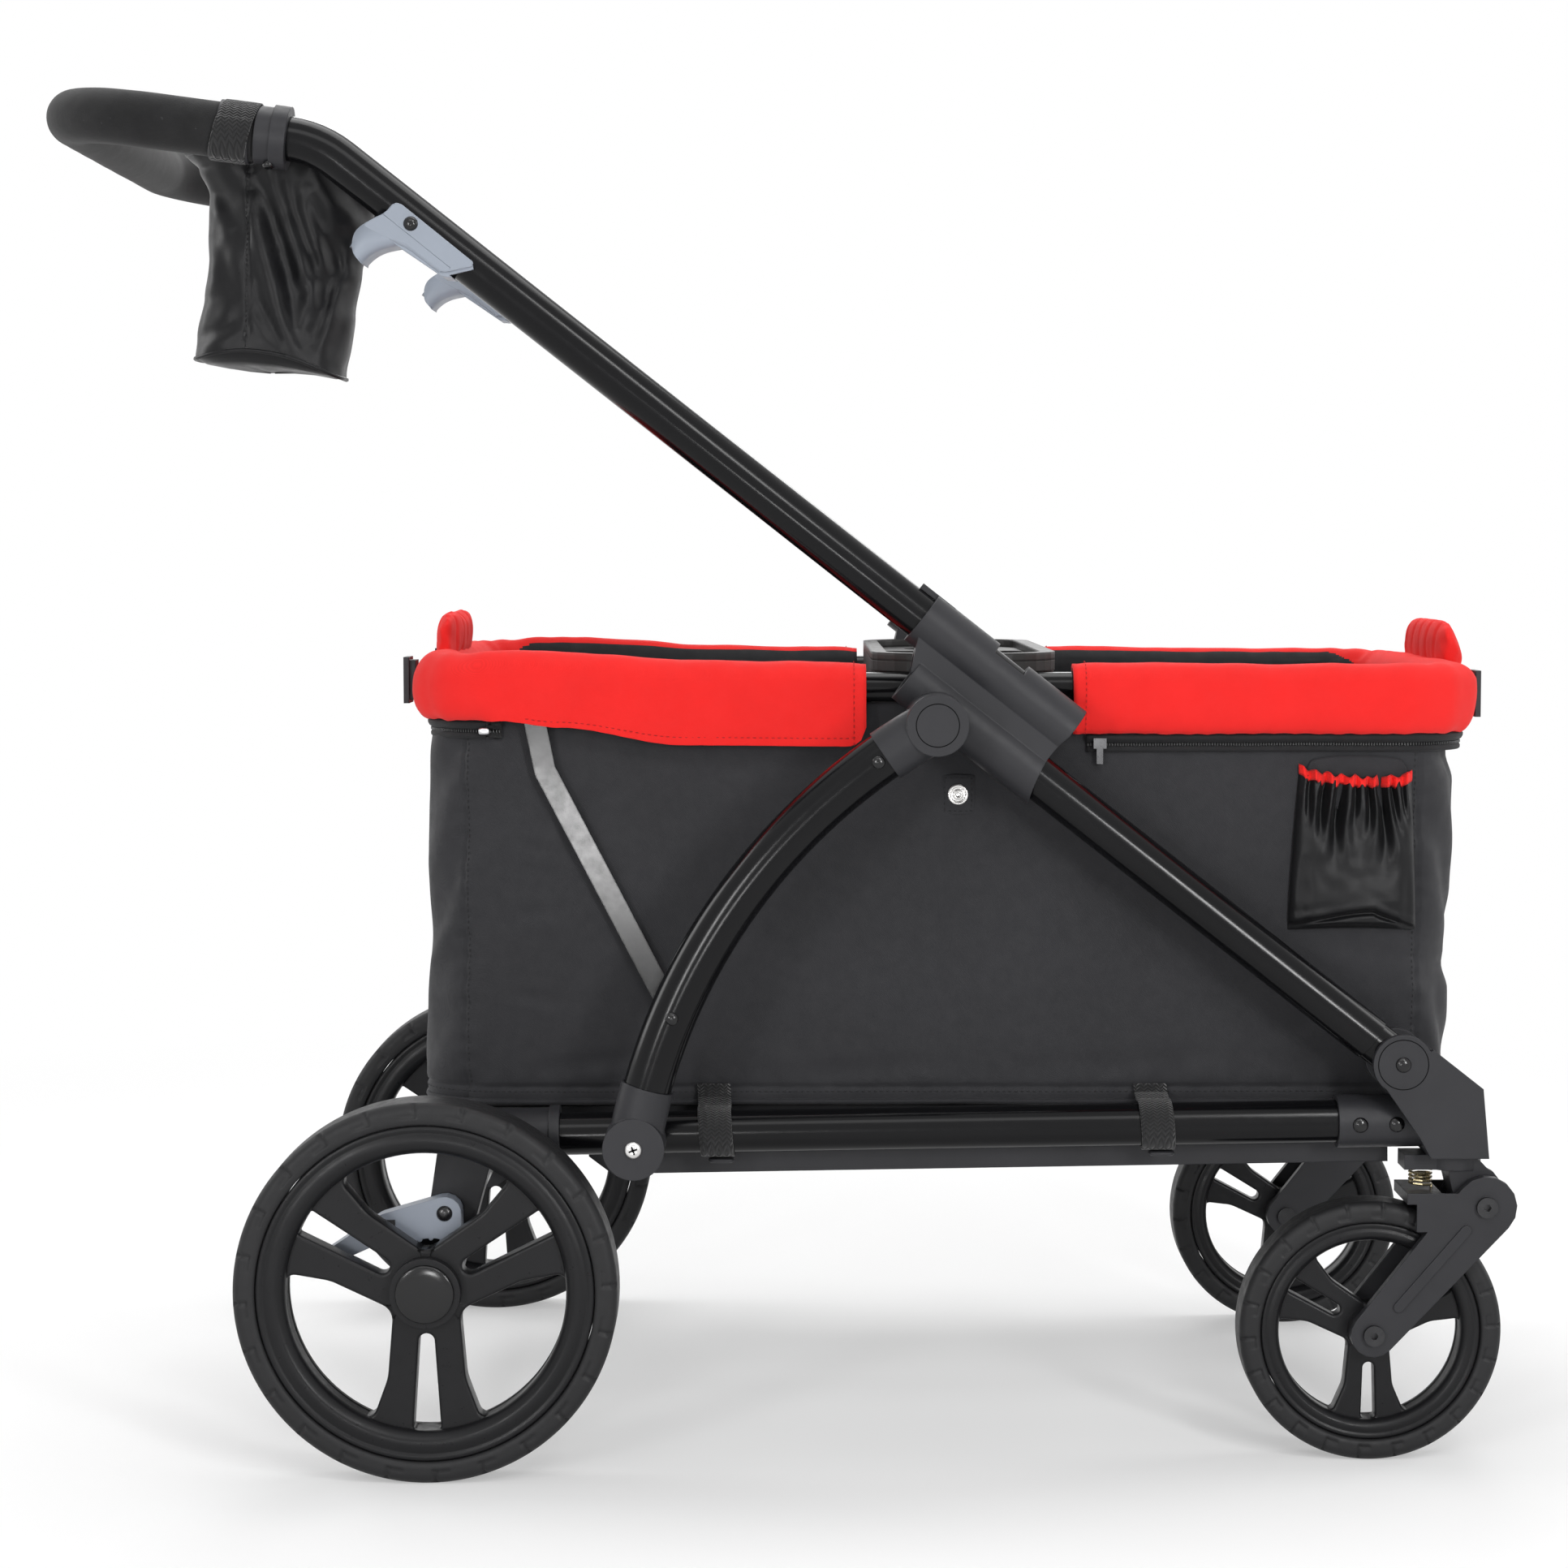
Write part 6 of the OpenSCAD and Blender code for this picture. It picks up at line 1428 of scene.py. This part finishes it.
for tag, sgn in SIDES:
    rings = []
    for (x0, _, z0), (x1, _, z1) in zip(low_edge, high_edge):
        thick = math.hypot(x1 - x0, z1 - z0)
        turn = min(8.0, 0.85 * thick)
        half = [(wide - turn * (1 - math.cos(q)), turn * (1 - math.sin(q)) / thick)
                for q in (math.pi / 2 * k / 8 for k in range(9))]
        row = [(wide, 1.0)] + half + [(-y, s) for y, s in reversed(half)] + [(-wide, 1.0)]
        rings.append([(lerp(x0, x1, s), sgn * BRACE_Y + y, lerp(z0, z1, s)) for y, s in row])
    skin("lever_hook_" + tag, rings, LEVER_PLAIN, "lever_" + tag, caps=True)
    for side, where in ((1, "out"), (-1, "in")):
        verts, faces, flat = plate([rounded(CHEEK)], 2.0, 0.7)
        middle = sgn * (BRACE_Y + side * (LEVER_HALF + 1.15))
        ob = piece("lever_cheek_%s_%s" % (where, tag), [(x, middle - z, y) for x, y, z in verts], faces, [LEVER_PLAIN],
                   "lever_" + tag)
        ob.data.polygons.foreach_set("use_smooth", [not level for level in flat])
    face = sgn * (BRACE_Y + wide)
    tube("lever_fold_line_" + tag, [(lerp(-29.4, 21.0, k / 12), face, lerp(960.4, 920.0, k / 12)) for k in range(13)],
         0.28, LEVER, "lever_" + tag, 6)
    lathe("lever_pin_dome_" + tag, PIN_DOME, (-8.74, face, 953.25), (0, sgn, 0), GLOSS, "lever_" + tag,
          40)

# Each coil spring gets its own copy of its mesh; its highest and lowest points are found.
for tag, sgn in SIDES:
    joint, spring = joint_named("suspension_" + tag), NODES["caster_spring_" + tag]
    points = [spring.matrix_world @ vert.co for vert in spring.data.vertices]
    top, low = max(q.z for q in points), min(q.z for q in points)
    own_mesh(spring)

# Small fittings: fine lines round the pivot covers, screws


LEG_FACE, BOSS_FACE = 314.0, BRACE_Y + 22.0
LEG_TOP, LEG_FOOT, BRACE_FOOT = (387.832, 575.903), (158, 254.982), (747, 312.735)
FOOT_SCREW = [(6.6, 0.0), (6.6, 1.2), (6.2, 2.4), (5.0, 3.3), (3.0, 3.75), (1.2, 3.4), (0.01, 3.2)]
COLLAR_SCREW = [(4.4, -1.5), (4.4, 0.6), (3.6, 1.5), (2.0, 2.0), (0.01, 2.1)]


def ring_line(name, place, y, radius, body):
    """A fine dark line round a pivot cover."""
    path = [(place[0] + radius * math.cos(a), y, place[1] + radius * math.sin(a)) for a in turns(64)]
    tube(name, path, 0.4, SHADOW, body, 6, True)


for tag, sgn in SIDES:
    ring_line("leg_top_line_" + tag, LEG_TOP, sgn * LEG_FACE, 16.2, "legs")
    ring_line("brace_boss_line_" + tag, BRACE_FOOT, sgn * BOSS_FACE, 19.2, "chassis")
    # Cross-head screw over the leg foot's pin
    face, out = LEG_FACE + 0.1, Vector((0, sgn, 0))
    lathe("foot_screw_" + tag, FOOT_SCREW, (LEG_FOOT[0], sgn * face, LEG_FOOT[1]), out, BRIGHT, "chassis",
          32)
    mid = Vector((LEG_FOOT[0], sgn * (face + 3.3), LEG_FOOT[1]))
    for k, a in enumerate((math.radians(20), math.radians(110)), 1):
        u, w = Vector((math.cos(a), 0, math.sin(a))), Vector((-math.sin(a), 0, math.cos(a)))
        corners = []
        for h, long, wide in ((-1.0, 3.2, 0.5), (0.6, 3.4, 0.62)):
            corners += [tuple(mid + u * su * long + w * sw * wide + out * h) for su, sw in SQUARE]
        piece("foot_screw_slot_%s_%d" % (tag, k), corners, [(4, 5, 6, 7), (3, 2, 1, 0)] + prism(0), [SHADOW],
              "chassis", smooth=False)
    # Screw under the grip collar
    lathe("collar_screw_" + tag, COLLAR_SCREW, round_grip(34.0, 24.4, -math.pi / 2 + 0.35, sgn),
          (0.0, sgn * 0.34, -0.94), GLOSS, "handle", 24)

# Stage: pale floor, soft lamps, camera at the photograph's view

bpy.ops.mesh.primitive_plane_add(size=40.0, location=(0, 0, 0))
floor = bpy.context.object
floor.name = "floor"
p = Paint("pale_floor")
p.tree.nodes.remove(p.shader)
out = [n for n in p.tree.nodes if n.type == "OUTPUT_MATERIAL"][0]
lit = p.add("ShaderNodeBsdfDiffuse")
lit.inputs["Color"].default_value = (0.93, 0.93, 0.93, 1)
white = p.add("ShaderNodeEmission")
white.inputs["Color"].default_value = (1, 1, 1, 1)
far = p.add("ShaderNodeVectorMath", operation="LENGTH")
p.link(p.place, far.inputs[0])
share = p.math("MULTIPLY", p.span(far.outputs["Value"], 0.7, 2.2, 0.35, 1.0), p.seen())
p.link(p.blend(share, lit.outputs[0], white.outputs[0]), out.inputs["Surface"])
floor.data.materials.append(p.mat)

world = bpy.data.worlds.new("studio")
scene.world = world
world.use_nodes = True
sky = Nodes(world.node_tree)
ground, backdrop = sky.tree.nodes["Background"], sky.add("ShaderNodeBackground")
for node, strength in ((ground, 0.3), (backdrop, 1.0)):
    node.inputs["Color"].default_value = (1, 1, 1, 1)
    node.inputs["Strength"].default_value = strength
sky.link(sky.blend(sky.seen(), ground.outputs[0], backdrop.outputs[0]),
         sky.tree.nodes["World Output"].inputs["Surface"])


def lamp(name, place, aim, size, size_y, power):
    data = bpy.data.lights.new(name, "AREA")
    data.shape = "RECTANGLE"
    data.size, data.size_y, data.energy = size, size_y, power
    ob = bpy.data.objects.new(name, data)
    scene.collection.objects.link(ob)
    ob.location = place
    ob.rotation_euler = (Vector(aim) - Vector(place)).to_track_quat("-Z", "Y").to_euler()


lamp("key_soft", (-0.2, -2.4, 2.9), (0.0, 0.0, 0.5), 2.2, 0.9, 14.0)
lamp("right_low", (1.51, -2.82, 1.08), (0.33, -0.25, 0.42), 0.3, 0.8, 30.0)
lamp("right_high", (0.99, -2.41, 2.38), (-0.12, -0.25, 0.8), 0.3, 0.9, 14.0)
lamp("left_box", (-1.51, -2.85, 0.9), (-0.06, -0.29, 0.42), 0.3, 0.9, 21.0)
lamp("front_card", (AXLE - 0.06, -3.3, 0.24), (AXLE + 0.12, 0.0, 0.49), 0.34, 0.26, 6.0)
lamp("top_soft", (0.1, 0.5, 3.2), (0.0, 0.0, 0.4), 2.6, 1.6, 46.0)
lamp("left_soft", (-2.8, 0.6, 1.6), (0.0, 0.0, 0.5), 1.0, 1.6, 20.0)
lamp("right_soft", (2.9, 0.6, 1.5), (0.1, 0.0, 0.5), 1.0, 1.6, 18.0)
lamp("back_soft", (0.2, 2.8, 2.2), (0.0, 0.0, 0.5), 2.2, 1.2, 30.0)

camera = bpy.data.objects.new("camera", bpy.data.cameras.new("camera"))
scene.collection.objects.link(camera)
SENSOR, FOCAL_PX, PHOTO_PX = 36.0, 4208.1, 1932
camera.data.sensor_width = SENSOR
camera.data.lens = FOCAL_PX / PHOTO_PX * SENSOR
camera.data.clip_start, camera.data.clip_end = 0.05, 100.0
camera.location = (AXLE + 0.2823, -2.8694, 0.7098)
camera.rotation_euler = (math.radians(90 - 3.975), math.radians(0.082), math.radians(0.215))
scene.camera = camera
scene.view_settings.view_transform = "Standard"
